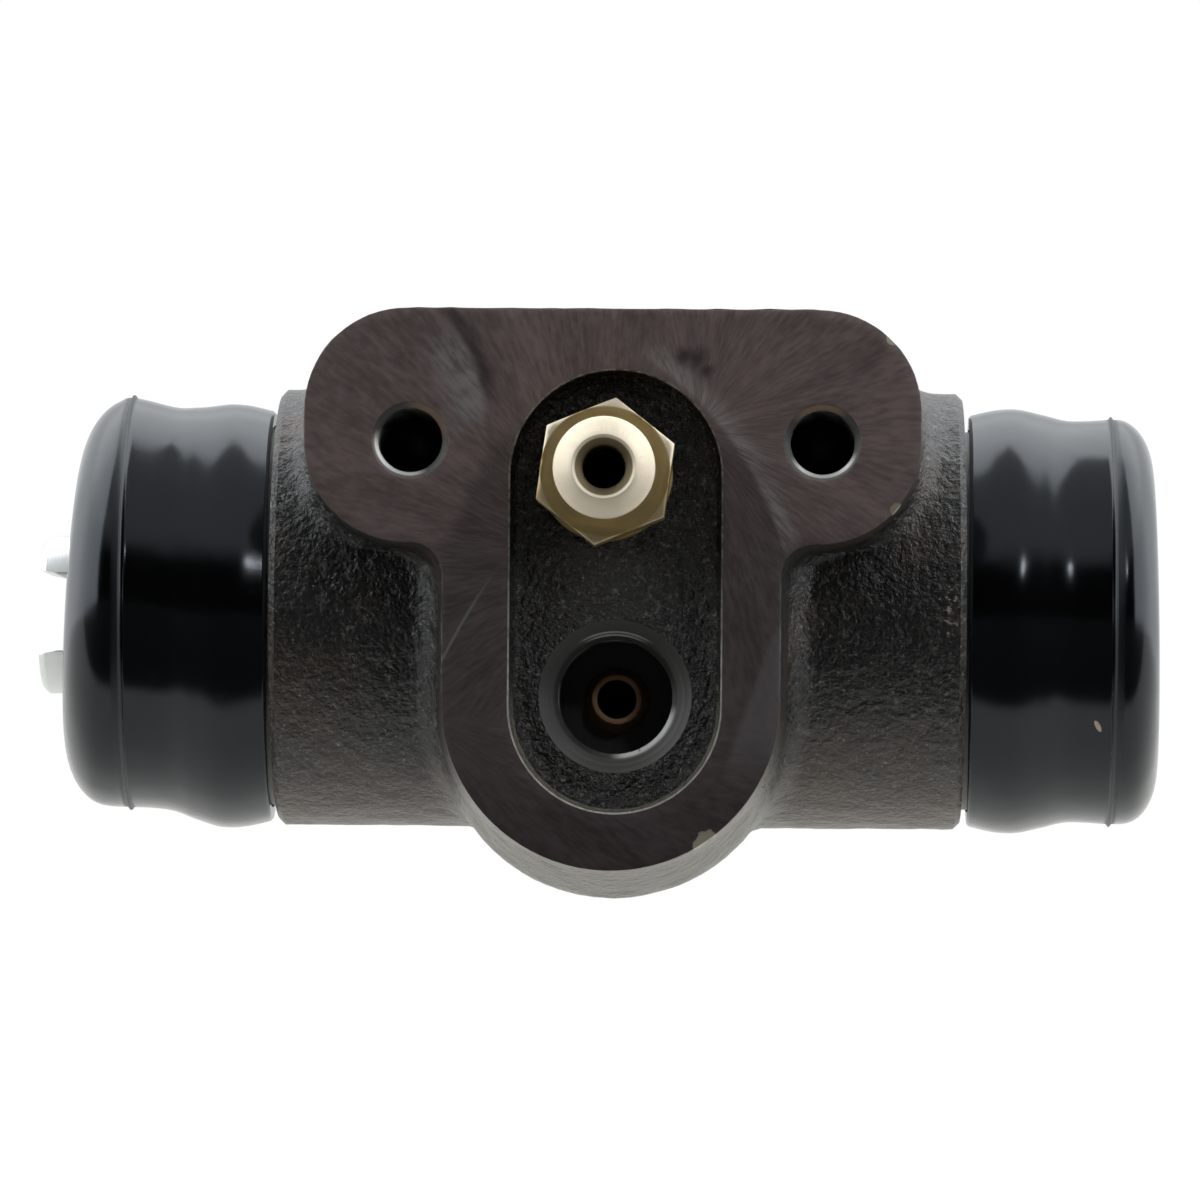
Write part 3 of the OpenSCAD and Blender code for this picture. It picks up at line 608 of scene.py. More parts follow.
def cast_iron(sizes):
    """Charcoal as-cast skin: pale specks in a coarse dark grain, a brown tinge, barer iron low down that is also
    painted lighter as light from below, painted glints and sparkle, and a painted highlight on the recess's lower
    wall.
    """
    finish = Finish("as_cast_iron")
    x, y, z = finish.x, finish.y, finish.z
    grain = finish.noise(2.0, 3.0, 0.65)
    lumps = finish.noise(0.8, 2.0)
    speck = finish.noise(1.7, 3.0, 0.75).rise(0.55, 0.68)
    painted_glint = finish.noise(3.2, 2.0, 0.6).rise(0.62, 0.74)
    tinge = finish.noise(0.16, 3.0).rise(0.42, 0.70)
    recess, recess_floor = sizes.recess_radius / MM, sizes.recess_depth / MM
    middle = z.most(-sizes.recess_low / MM).least(-sizes.recess_top / MM)
    from_recess = (x * x + (z - middle) ** 2) ** 0.5
    behind = y.rise(recess_floor + 0.5, recess_floor + 1.0)
    outside = from_recess.rise(recess + 0.1, recess + 0.6).most(behind)
    tone = finish.mix(shade(sizes.iron, 0.3), shade(sizes.iron, 1.1), grain.rise(0.35, 0.75))
    tone = finish.mix(tone, shade(sizes.iron, 14.0), speck * (0.55 - outside * 0.1))
    tone = finish.mix(tone, sizes.tinge, tinge * (0.1 + outside * 0.35))
    # Painted light from below: low down the skin turns to a lighter, warmer tone, partly barer iron and partly
    # painted light.
    bare_and_light_below = finish.mix(sizes.bare_iron_and_highlight, sizes.brown_iron_and_light_below, abs(x).rise(12.0, 15.0))
    painted_light_below = 1.0 - z.rise(-31.8, -22.0)
    tone = finish.mix(tone, bare_and_light_below, painted_light_below * (0.1 + grain) * outside)
    # Painted highlight: the recess's lower wall faces up and is painted pale as if lit from above.
    wall = from_recess.rise(recess - 0.38, recess - 0.25) * (1.0 - behind)
    wall = wall * (1.0 - from_recess.rise(recess + 0.1, recess + 0.2)) * (1.0 - z.rise(-24.0, -17.0))
    tone = finish.mix(tone, shade(sizes.bare_iron_and_highlight, 1.1), wall * 0.9)
    # Painted glints: pale specks that stand for light glinting off the grain.
    tone = finish.mix(tone, shade(sizes.bare_iron_and_highlight, 1.4), painted_glint * 0.55)
    # Painted sparkle: in a few patches the specks and glints are painted paler still.
    painted_sparkle = ragged_spots(finish, SPARKLE_PATCHES, 0.5, 1.5) * (1.0 - y.rise(16.0, 22.0)) * (speck + painted_glint)
    tone = finish.mix(tone, shade(sizes.bare_iron_and_highlight, 1.8), painted_sparkle)
    broken = ragged_spots(finish, NICKS, 0.85, 0.9) * (1.0 - y.rise(0.6, 1.0))
    tone = finish.mix(tone, shade(sizes.bare_iron_and_highlight, 2.2), broken)
    normal = finish.bump((grain + lumps * 0.8) * (1.9 - outside * 0.9), 0.24 * MM)
    dull = 0.17 + grain * 0.12 + outside * (grain * 0.06 + 0.07)
    finish.set(IOR=1.58)
    return finish.set(Base_Color=tone, Roughness=dull, Metallic=0.1, Normal=normal)


def milled_pad(sizes):
    """Dark satin iron with fans of cutter marks, lighter on the ears and darker lower down, partly as painted
    light and shade, and a few wiped marks.
    """
    finish = Finish("milled_pad")
    x, z = finish.x, finish.z

    def ring(middle_x, middle_z, radius):
        """Distance outward from a circle on the pad."""
        return finish.away(middle_x, middle_z) - radius

    def fan(middle_x, middle_z, spread):
        """Streaks that run out from a place on the pad."""
        angle = finish.node("ShaderNodeMath", {"operation": "ARCTAN2"}, {0: x - middle_x, 1: z - middle_z})
        rays = finish.vector(angle * spread, ring(middle_x, middle_z, 0.0) * 0.12, 0.0)
        return finish.noise(5.0, 3.0, 0.6, rays) * 0.6 + finish.noise(0.8, 2.0, 0.5, rays) * 0.4

    left, right, low = fan(*LEFT_FAN), fan(*RIGHT_FAN), fan(*LOW_FAN)
    streaks = left + (right - left) * x.rise(1.0, 5.0)
    streaks = low + (streaks - low) * z.rise(-25.0, -18.0)
    sweep, counter_sweep = ring(*STEM_SWEEP), ring(*COUNTER_SWEEP)
    stem = (1.0 - sweep.rise(-0.5, 0.4)) * (1.0 - counter_sweep.rise(-0.8, 0.8)) * (1.0 - z.rise(-2.0, 3.0))
    # Lighter on the ears and darker down the stem and at the bottom: partly the milled iron's own tone, partly
    # painted light and shade.
    tone = finish.mix(sizes.pad_low, sizes.pad_stem, z.rise(-31.0, -22.0))
    tone = finish.mix(tone, sizes.pad, z.rise(-15.0, -4.0) * (1.0 - stem * 0.75))
    cut = finish.mix((0.68, 0.68, 0.68), (1.32, 1.32, 1.32), streaks.rise(0.3, 0.7))
    settings = {"data_type": "RGBA", "blend_type": "MULTIPLY"}
    tone = finish.node("ShaderNodeMix", settings, {0: 1.0, 6: tone, 7: cut}, output=2)
    marks = streaks.rise(0.36, 0.62)
    wiped = sweep.rise(-0.3, 0.2) * (1.0 - sweep.rise(0.2, 2.0)) * x.rise(0.5, 4.0) * z.rise(-10.5, -6.0)
    tone = finish.mix(tone, sizes.wiped, wiped * (0.2 + marks) * 0.5)
    # A lighter, greyer band across the left ear.
    arc = ring(*EAR_SWEEP)
    left_ear = x.rise(-16.0, -14.0)
    band = arc.rise(-4.6, -1.8) * (1.0 - arc.rise(-0.9, -0.1)) * z.rise(-0.5, 3.0) * (1.0 - z.rise(6.5, 9.5))
    tone = finish.mix(tone, sizes.ear_band, band * left_ear * (0.12 + marks) * 0.6)
    line = 0.6 * (1.0 - abs(arc).rise(0.1, 0.9)) * z.rise(2.0, 5.0) * left_ear
    smudge = ragged_spots(finish, SMUDGES, 0.0, 0.9) * (0.5 + streaks)
    tone = finish.mix(tone, sizes.smudge, line.most(smudge * 0.75))
    scratch = (1.0 - abs(ring(*SCRATCH)).rise(0.05, 0.16)) * z.rise(-17.6, -16.8)
    scratch = scratch * (1.0 - z.rise(-14.0, -9.5)) * (1.0 - x.rise(-9.0, -8.0))
    slant = (x - 12.6 - (z + 14.0) * 0.35).rise(-0.4, 0.4)
    strip = slant * z.rise(-27.5, -22.0) * (1.0 - z.rise(-15.5, -13.5))
    tone = finish.mix(tone, sizes.scratch, (strip * 0.45).most(scratch))
    tone = finish.mix(tone, shade(sizes.bare_iron_and_highlight, 1.8), ragged_spots(finish, NICKS, 0.85, 0.9))
    normal = finish.bump(streaks, 0.02 * MM)
    return finish.set(Base_Color=tone, Roughness=0.4 + streaks * 0.12, Metallic=0.4, Normal=normal)


def turned_iron(sizes):
    """Bored and turned iron, darker far inside the holes partly with oil and partly as painted shade, with a
    painted highlight as a bright crescent on each rim, painted light and shade round the port's rim and painted
    highlights on the thread crests over the port.
    """
    finish = Finish("turned_iron")
    rings = finish.noise(5.0, 2.0, 0.5, finish.vector(finish.x, finish.y, 0.0))

    def rim(axis_x, axis_z, reach, depth, toward):
        """How much a place lies on a hole's rim and to one side of the hole, and its radius there."""
        across, up = finish.x - axis_x, finish.z - axis_z
        radius = finish.away(axis_x, axis_z)
        on_rim = (1.0 - radius.rise(reach, reach + 0.2)) * (1.0 - finish.y.rise(depth, depth + 1.2))
        return on_rim, (across * toward[0] + up * toward[1]) / radius, radius

    bolt, hole, port = BOLT_X / MM, BOLT_R / MM, PORT_R / MM
    # Painted shade: far inside the holes and the bore the iron is painted darker, partly for oil.
    painted_deep_shade = finish.y.rise(4.8, 7.5) * (1.0 - abs(finish.x).rise(9.0, 11.0))
    tone = finish.mix(sizes.turned, shade(sizes.turned, 0.5), painted_deep_shade)
    # Round each mounting hole the chamfer is darker, a painted highlight lights its lower side as a bright
    # crescent, and its upper side is painted brown.
    for axis_x, toward in ((-bolt, (-0.62, -0.78)), (bolt, (0.1, -0.99))):
        on_rim, side, radius = rim(axis_x, 0.0, hole + 0.6, 0.5, toward)
        tone = finish.mix(tone, shade(sizes.turned, 0.3), on_rim)
        inner = 1.0 - radius.rise(hole + 0.18, hole + 0.34)
        crescent = on_rim * side.rise(0.3, 0.85) * (0.12 + inner)
        tone = finish.mix(tone, shade(sizes.turned, 3.4), crescent)
        far_side = (0.0 - side).rise(0.6, 0.95)
        tone = finish.mix(tone, sizes.upper_rim_brown, on_rim * far_side)
    on_rim, side, radius = rim(PORT.x / MM, PORT.z / MM, port + 1.6, 4.4, (0.62, -0.78))
    patchy = finish.noise(1.4, 3.0, 0.6)
    lines = finish.noise(3.5, 3.0, 0.7, finish.vector(radius, 0.0, 0.0)).rise(0.3, 0.7)
    # Round the port the chamfer is painted in light and shade: darker overall and lighter towards the lower right,
    # with painted shade at the upper left of its inner edge and a painted highlight at the lower right of that
    # edge, broken into patches.
    tone = finish.mix(tone, shade(sizes.turned, 0.42), on_rim)
    tone = finish.mix(tone, shade(sizes.turned, 1.05), on_rim * side.rise(-0.3, 0.9) * (0.2 + lines * 0.7))
    inner = 1.0 - radius.rise(port + 0.2, port + 0.5)
    tone = finish.mix(tone, shade(sizes.turned, 0.12), on_rim * inner * (1.0 - side.rise(0.2, 0.8)) * 0.8)
    painted_shine = on_rim * side.rise(0.7, 0.9) * inner * patchy.rise(0.22, 0.42)
    tone = finish.mix(tone, sizes.painted_shine, painted_shine)
    # Painted highlights: bright arcs on the thread crests at the top of the port, as if lit from above.
    top = (finish.z - PORT.z / MM).rise(port * 0.9, port * 1.08)
    for arc in (0.36, 0.58):
        crest_highlight = 1.0 - abs(radius - port - arc).rise(0.03, 0.10)
        tone = finish.mix(tone, sizes.crest_highlight, on_rim * crest_highlight * top * 0.8)
    normal = finish.bump(rings, 0.015 * MM)
    dull, metal = 0.36 + rings * 0.15, 0.5 - painted_shine * 0.5
    return finish.set(Base_Color=tone, Roughness=dull, Metallic=metal, Normal=normal)


def worn_edge_and_highlight(sizes):
    """Bright burr that the cutter left round the recess, broken at the top and fuller at the bottom, where a
    painted highlight stands for the light on the edge that faces up.
    """
    finish = Finish("worn_edge_and_highlight")
    grain = finish.noise(1.3, 3.0, 0.7)
    # Painted highlight: brighter along the bottom, where the edge faces up to the light.
    fuller = 1.0 - finish.z.rise(-21.0, -8.0)
    bright = grain.rise(0.38, 0.66) * 0.5 + fuller * 0.6
    tone = finish.mix(shade(sizes.turned, 0.4), shade(sizes.turned, 2.4), bright)
    return finish.set(Base_Color=tone, Roughness=0.35 + grain * 0.1, Metallic=0.4,
                      Normal=finish.bump(grain, 0.03 * MM))


class BootForm(NamedTuple):
    """What differs between the boots: lengths past the barrel's end, a tilt, and whether one leans."""

    way: int
    dome_length: float
    dome_drop: float
    lip_at: float
    stretch: tuple
    tilt: float
    leans: bool


BOOT_FORMS = {
    "left": BootForm(way=-1, dome_length=4.0 * MM, dome_drop=5.6 * MM, lip_at=12.5 * MM,
                     stretch=(2.0 * MM, 11.7 * MM), tilt=math.radians(2.9), leans=True),
    "right": BootForm(way=1, dome_length=2.9 * MM, dome_drop=4.3 * MM, lip_at=8.6 * MM,
                      stretch=(2.0 * MM, 7.6 * MM), tilt=math.radians(1.0), leans=False),
}
# Lengths over which a boot's askew set fades: past the ridge, out from the lip and out from the neck
RIDGE_FADE, LIP_FADE, NECK_FADE = 2 * MM, 5 * MM, 1 * MM
# From the bead to where the boot's inner side starts
BEAD_GAP = 0.2 * MM
# Speck of dirt on the right boot: x and z of its middle, half its length and half its width
DIRT = (38.0, -21.5, 0.5, 0.2)


def curve(points, steps):
    """A smooth curve through some points, without its last point."""
    made = []
    last = len(points) - 1
    for i in range(last):
        a, b, c, d = (Vector(points[min(max(k, 0), last)]) for k in (i - 1, i, i + 1, i + 2))
        for step in range(steps):
            t = step / steps
            made.append((2 * b + (c - a) * t + (2 * a - 5 * b + 4 * c - d) * t ** 2
                         + (3 * b - a - 3 * c + d) * t ** 3) / 2)
    return made


def boot_outline(sizes, dome_length, dome_drop, lip_at):
    """The closed half section of a boot, as places past the barrel's end and radii."""
    bulge = sizes.bulge_radius
    waist = bulge - sizes.waist_dip
    brow = waist + sizes.brow_rise

    def side(inset):
        return curve([
            (sizes.start + sizes.edge_round, bulge - sizes.lead_in - inset),
            (sizes.bulge_at * 0.6, bulge - sizes.lead_in / 8 - inset),
            (sizes.bulge_at, bulge - inset),
            ((sizes.bulge_at + sizes.waist_at) / 2, (bulge + waist) / 2 - inset),
            (sizes.waist_at, waist - inset),
            (sizes.ridge_at - sizes.ridge_height, brow - inset),
        ], SIDE_STEPS)

    def dome(inset):
        quarter = [math.radians(90 - 6 * i) for i in range(16)]
        return [Vector((sizes.dome_at + (dome_length - inset) * math.cos(a),
                        brow - dome_drop + (dome_drop - inset) * math.sin(a))) for a in quarter]

    half = sizes.lip_width / 2
    turns = [math.radians(45 * i - 180) for i in range(9)]
    ridge = [Vector((sizes.ridge_at + a / math.pi * sizes.ridge_height,
                     brow + sizes.ridge_height * (1 + math.cos(a)) / 2)) for a in turns]
    outer = dome(0.0)
    lip_out = Vector((lip_at + half, sizes.lip_top))
    lip_in = Vector((lip_at - half, sizes.lip_top + sizes.wall))
    fold = [outer[-1].lerp(lip_out, t / FOLD_STEPS) for t in range(1, FOLD_STEPS + 1)]
    inner = dome(sizes.wall)
    back = [inner[-1].lerp(lip_in, t / FOLD_STEPS) for t in range(FOLD_STEPS, 0, -1)]
    inside = [p for p in side(sizes.wall) if p.x > sizes.bead_end + BEAD_GAP]
    return [
        Vector((sizes.start, bulge - sizes.lead_in - sizes.edge_round)),
        *side(0.0), *ridge, *outer, *fold,
        Vector((lip_at + half, sizes.lip_radius)), Vector((lip_at - half, sizes.lip_radius)),
        *back, *reversed(inner), *reversed(inside),
        Vector((sizes.bead_end, sizes.neck_radius)), Vector((sizes.bead_end, sizes.bead_radius)),
        Vector((sizes.bead_start, sizes.bead_radius)), Vector((sizes.bead_start, sizes.neck_radius)),
        Vector((sizes.start, sizes.neck_radius)),
    ]


def turn_rings(name, outline, start, way, segments):
    """Extrudes a circle along the bore through an outline's rings, and closes the section."""
    def middle(ring):
        return start + way * ring.x, BORE.y, BORE.z

    here = outline[0]
    bpy.ops.object.select_all(action="DESELECT")
    bpy.ops.mesh.primitive_circle_add(vertices=segments, radius=here.y, location=middle(here),
                                      rotation=(0, math.pi / 2, 0))
    piece = bpy.context.object
    piece.name = name
    bpy.ops.object.transform_apply(location=True, rotation=True, scale=True)
    bpy.ops.object.mode_set(mode="EDIT")
    bpy.ops.mesh.select_all(action="SELECT")
    for here, there in pairwise(outline):
        move = {"value": (way * (there.x - here.x), 0, 0)}
        bpy.ops.mesh.extrude_region_move(TRANSFORM_OT_translate=move)
        grow = there.y / here.y
        bpy.ops.transform.resize(value=(1, grow, grow), center_override=middle(there))
    bpy.ops.mesh.select_all(action="DESELECT")
    mesh = bmesh.from_edit_mesh(piece.data)
    for edge in mesh.edges:
        if edge.is_boundary:
            edge.select_set(True)
    bmesh.update_edit_mesh(piece.data)
    bpy.ops.mesh.bridge_edge_loops()
    bpy.ops.mesh.select_all(action="SELECT")
    bpy.ops.mesh.normals_make_consistent(inside=False)
    bpy.ops.object.mode_set(mode="OBJECT")
    return piece


class WHEEL_OT_boots(bpy.types.Operator):
    """Rubber dust boots over both ends of the bore"""

    bl_idname = "wheel.boots"
    bl_label = "Dust boots"

    def execute(self, context):
        sizes = context.scene.wheel_boots
        barrel_end = context.scene.wheel_housing.barrel_end
        rubber = boot_rubber(sizes, barrel_end)
        for side, form in BOOT_FORMS.items():
            way = form.way
            outline = boot_outline(sizes, form.dome_length, form.dome_drop, form.lip_at)
            piece = turn_rings(f"{side}_dust_boot", outline, way * barrel_end, way, sizes.segments)
            self.settle(piece, sizes, form, way * barrel_end)
            piece.data.materials.append(rubber)
            smooth(piece, degrees=40)
            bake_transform(piece)
            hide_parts(f"{side}_boot")
        return {"FINISHED"}

    def settle(self, piece, sizes, form, start):
        """Sets a boot a little askew: near side back, far end tipped, and lifted and widened if it leans."""
        way = form.way
        lean, swell = (sizes.lean, sizes.swell) if form.leans else (0.0, 0.0)
        for vertex in piece.data.vertices:
            past = way * (vertex.co.x - start)
            radius = from_bore(vertex.co)
            across = vertex.co - Vector((vertex.co.x, BORE.y, BORE.z))
            out = smooth_step((past - sizes.bulge_at) / (sizes.dome_at - sizes.bulge_at))
            end = smooth_step((past - sizes.ridge_at) / RIDGE_FADE)
            wide = smooth_step((radius - sizes.lip_top) / LIP_FADE)
            skin = smooth_step((radius - sizes.neck_radius) / NECK_FADE)
            vertex.co += across * swell * out * wide
            vertex.co.x -= way * across.z * math.tan(form.tilt) * end * wide
            vertex.co.x += way * across.y / sizes.bulge_radius * sizes.yaw * max(skin, out * wide)
            vertex.co.z += lean * out * wide


def boot_rubber(sizes, barrel_end):
    """Glossy black moulded rubber with a little waviness, and a speck of dirt on the right boot."""
    finish = Finish("boot_rubber")
    waves = finish.noise(0.12, 2.0)
    grain = finish.noise(3.0, 2.0)
    dust = finish.noise(0.5, 4.0, 0.7).rise(0.55, 0.8)
    tone = finish.mix(sizes.rubber, shade(sizes.rubber, 1.8), dust)
    middle_x, middle_z, half_length, half_width = DIRT
    across, up = finish.x - middle_x, finish.z - middle_z
    long_way = across * 0.5 - up * 0.86
    short_way = across * 0.86 + up * 0.5
    speck = 1.0 - ((long_way / half_length) ** 2 + (short_way / half_width) ** 2).rise(0.5, 1.3)
    speck = speck * (1.0 - finish.y.rise(14.0, 16.0))
    tone = finish.mix(tone, sizes.dirt, speck)
    ridge = 1.0 - abs(abs(finish.x) - (barrel_end + sizes.ridge_at) / MM).rise(0.2, 0.6)
    normal = finish.bump(waves + grain * 0.01, 0.16 * MM)
    finish.set(Specular_Tint=(0.84, 0.91, 1.0))
    dull = 0.16 + dust * 0.08 + speck * 0.4 + ridge * 0.25
    return finish.set(Base_Color=tone, Roughness=dull, Normal=normal)


def half_spring(name, sizes, low, high, first, last):
    """Some turns of the return spring, between the seats that its ends press on."""
    closed = sizes.wire * 1.05
    pitch = (high - low - sizes.wire - 2 * closed) / (sizes.turns - 2)
    radius = (sizes.coil - sizes.wire) / 2
    path = bpy.data.curves.new(name, "CURVE")
    path.dimensions = "3D"
    path.bevel_depth = sizes.wire / 2
    path.bevel_resolution = 3
    path.use_fill_caps = True
    spline = path.splines.new("POLY")
    count = round(SPRING_STEPS * (last - first))
    spline.points.add(count)
    for i, point in enumerate(spline.points):
        turn = first + (last - first) * i / count
        along = closed * (min(turn, 1) + max(turn - sizes.turns + 1, 0))
        along += pitch * min(max(turn - 1, 0), sizes.turns - 2)
        around = math.tau * turn
        point.co = (low + sizes.wire / 2 + along, BORE.y + radius * math.cos(around),
                    BORE.z + radius * math.sin(around), 1)
    piece = bpy.data.objects.new(name, path)
    bpy.context.scene.collection.objects.link(piece)
    activate(piece)
    bpy.ops.object.convert(target="MESH")
    return bpy.context.object


class WHEEL_OT_inside(bpy.types.Operator):
    """Seal cups, expanders and the return spring inside the bore"""

    bl_idname = "wheel.inside"
    bl_label = "Parts in the bore"

    def execute(self, context):
        sizes = context.scene.wheel_fittings
        steel = bright_steel("spring_wire", sizes.steel)
        expander = bright_steel("expander_sheet", shade(sizes.steel, 1.2))
        seal = seal_rubber(sizes)
        for side in ("left", "right"):
            for node, finish in ((f"{side}_cup", seal), (f"{side}_cup_expander", expander)):
                frame["nodes"][node].data.materials.clear()
                frame["nodes"][node].data.materials.append(finish)
        low, high = (corner.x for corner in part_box("return_spring"))
        middle = sizes.turns / 2
        halves = {"left": (0, middle), "right": (middle, sizes.turns)}
        for side, (first, last) in halves.items():
            piece = half_spring(f"{side}_spring_half", sizes, low, high, first, last)
            piece.data.materials.append(steel)
            smooth(piece, degrees=60)
            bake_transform(piece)
            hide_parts("return_spring")
        return {"FINISHED"}


def bright_steel(name, tint):
    """Drawn or pressed steel with fine lines."""
    finish = Finish(name)
    lines = finish.noise(4.0, 3.0, 0.6)
    tone = finish.mix(shade(tint, 0.8), tint, lines)
    return finish.set(Base_Color=tone, Roughness=0.25 + lines * 0.2, Metallic=1.0,
                      Normal=finish.bump(lines, 0.01 * MM))


def seal_rubber(sizes):
    """Matt black seal rubber."""
    finish = Finish("seal_rubber")
    grain = finish.noise(2.0, 3.0)
    tone = finish.mix(sizes.seal, shade(sizes.seal, 1.6), grain)
    return finish.set(Base_Color=tone, Roughness=0.45 + grain * 0.1, Normal=finish.bump(grain, 0.02 * MM))


class WHEEL_OT_bleeder(bpy.types.Operator):
    """Bleeder screw and the seat in the inlet port"""

    bl_idname = "wheel.bleeder"
    bl_label = "Bleeder and seat"

    def execute(self, context):
        sizes = context.scene.wheel_fittings
        pieces = {
            "bleeder_screw": ("bleeder", "bleeder_screw", "bleeder_brass", bleeder_gold(sizes)),
            "inlet_seat": ("port_seat", "cylinder_body", "seat_brass", seat_copper(sizes)),
        }
        for node, (name, body, slot, finish) in pieces.items():
            piece = copy_of(node, name)
            ease_edges(piece, sizes.eased)
            piece.data.materials.append(finish)
            smooth(piece, degrees=30)
            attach(piece, body)
            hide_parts(node)
        return {"FINISHED"}


def ease_edges(piece, width):
    """Rounds a piece's sharp edges."""
    bevel = piece.modifiers.new("bevel", "BEVEL")
    bevel.width = width
    bevel.segments = 2
    bevel.limit_method = "ANGLE"
    bevel.angle_limit = EASED_ANGLE
    bevel.use_clamp_overlap = False
    activate(piece)
    bpy.ops.object.modifier_apply(modifier=bevel.name)


def bleeder_gold(sizes):
    """Yellow-passivated steel with a paler turned nipple, painted highlights on the hexagon's corners and painted
    shade in the nipple's mouth and hole.
    """
    finish = Finish("bleeder_gold")
    radius = finish.away(BLEED.x / MM, BLEED.z / MM)
    up = finish.z - BLEED.z / MM
    rings = finish.noise(6.0, 2.0, 0.5, finish.vector(radius, finish.y, 0.0))
    stain = finish.noise(0.5, 3.0)
    gold = finish.mix(shade(sizes.gold, 0.7), shade(sizes.gold, 1.2), stain * 0.6 + rings * 0.4)
    # Painted highlight: the hexagon's chamfered corners are painted pale, more towards the top where the light
    # falls from above.
    face, corner = sizes.hexagon_front / MM, sizes.hexagon_corner / MM
    edge = radius.rise(corner - 0.15, corner) * (1.0 - finish.y.rise(face + 0.5, face + 0.7))
    gold = finish.mix(gold, shade(sizes.cream, 0.75), edge * (0.25 + up.rise(-2.0, 2.5) * 0.6))
    front = 1.0 - finish.y.rise(face - 0.3, face - 0.1)
    wide, narrow = sizes.mouth_radius / MM, sizes.hole_radius / MM
    # Painted shade: the nipple's countersunk mouth is painted dark gold for its dark reflection.
    mouth = front * (1.0 - radius.rise(wide, wide + 0.15))
    cream = finish.mix(shade(sizes.cream, 0.9), sizes.cream, rings)
    tone = finish.mix(gold, cream, front)
    tone = finish.mix(tone, shade(sizes.gold, 0.32), mouth * 0.9)
    # Painted shade: the inside of the nipple's hole is painted near black.
    tone = finish.mix(tone, sizes.nipple_hole_shade, 1.0 - radius.rise(narrow, narrow + 0.15))
    return finish.set(Base_Color=tone, Roughness=0.32 + rings * 0.1 + front * 0.16,
                      Metallic=0.75 - front * 0.3 + mouth * 0.3, Normal=finish.bump(rings, 0.01 * MM))


def seat_copper(sizes):
    """Dull copper of the pressed-in seat, with painted shade in its hole."""
    finish = Finish("seat_copper")
    stain = finish.noise(1.2, 3.0)
    radius = finish.away(PORT.x / MM, PORT.z / MM)
    hole = sizes.seat_radius / MM
    tone = finish.mix(shade(sizes.copper, 0.85), sizes.copper, stain)
    # Painted shade: the inside of the seat's hole is painted near black.
    tone = finish.mix(sizes.seat_hole_shade, tone, radius.rise(hole, hole + 0.12))
    return finish.set(Base_Color=tone, Roughness=0.3 + stain * 0.15, Metallic=0.0,
                      Normal=finish.bump(stain, 0.01 * MM))


class WHEEL_OT_pistons(bpy.types.Operator):
    """Turned pistons with slotted noses"""

    bl_idname = "wheel.pistons"
    bl_label = "Pistons"

    def execute(self, context):
        sizes = context.scene.wheel_fittings
        finish = turned_aluminium(sizes)
        for side in ("left", "right"):
            piece = copy_of(f"{side}_piston", f"{side}_turned_piston")
            ease_edges(piece, sizes.eased)
            piece.data.materials.append(finish)
            smooth(piece, degrees=30)
            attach(piece, f"{side}_piston")
            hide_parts(f"{side}_piston")
        return {"FINISHED"}


def turned_aluminium(sizes):
    """Bright turned aluminium with fine rings along the bore, and painted shade on the walls of the noses' slots.
    """
    finish = Finish("turned_aluminium")
    rings = finish.noise(7.0, 2.0, 0.5, finish.vector(finish.x, 0.0, 0.0))
    stain = finish.noise(0.4, 3.0)
    tone = finish.mix(shade(sizes.aluminium, 0.88), sizes.aluminium, stain)
    half, low = sizes.slot_half / MM, sizes.slot_floor / MM
    # Painted shade: the walls of each nose's slot are painted dark.
    slot_shade = 1.0 - abs(finish.z - BORE.z / MM).rise(half, half + 0.1)
    tone = finish.mix(tone, shade(sizes.aluminium, 0.3), slot_shade * abs(finish.x).rise(low, low + 2.0))
    return finish.set(Base_Color=tone, Roughness=0.28 + rings * 0.12, Metallic=0.9,
                      Normal=finish.bump(rings, 0.012 * MM))


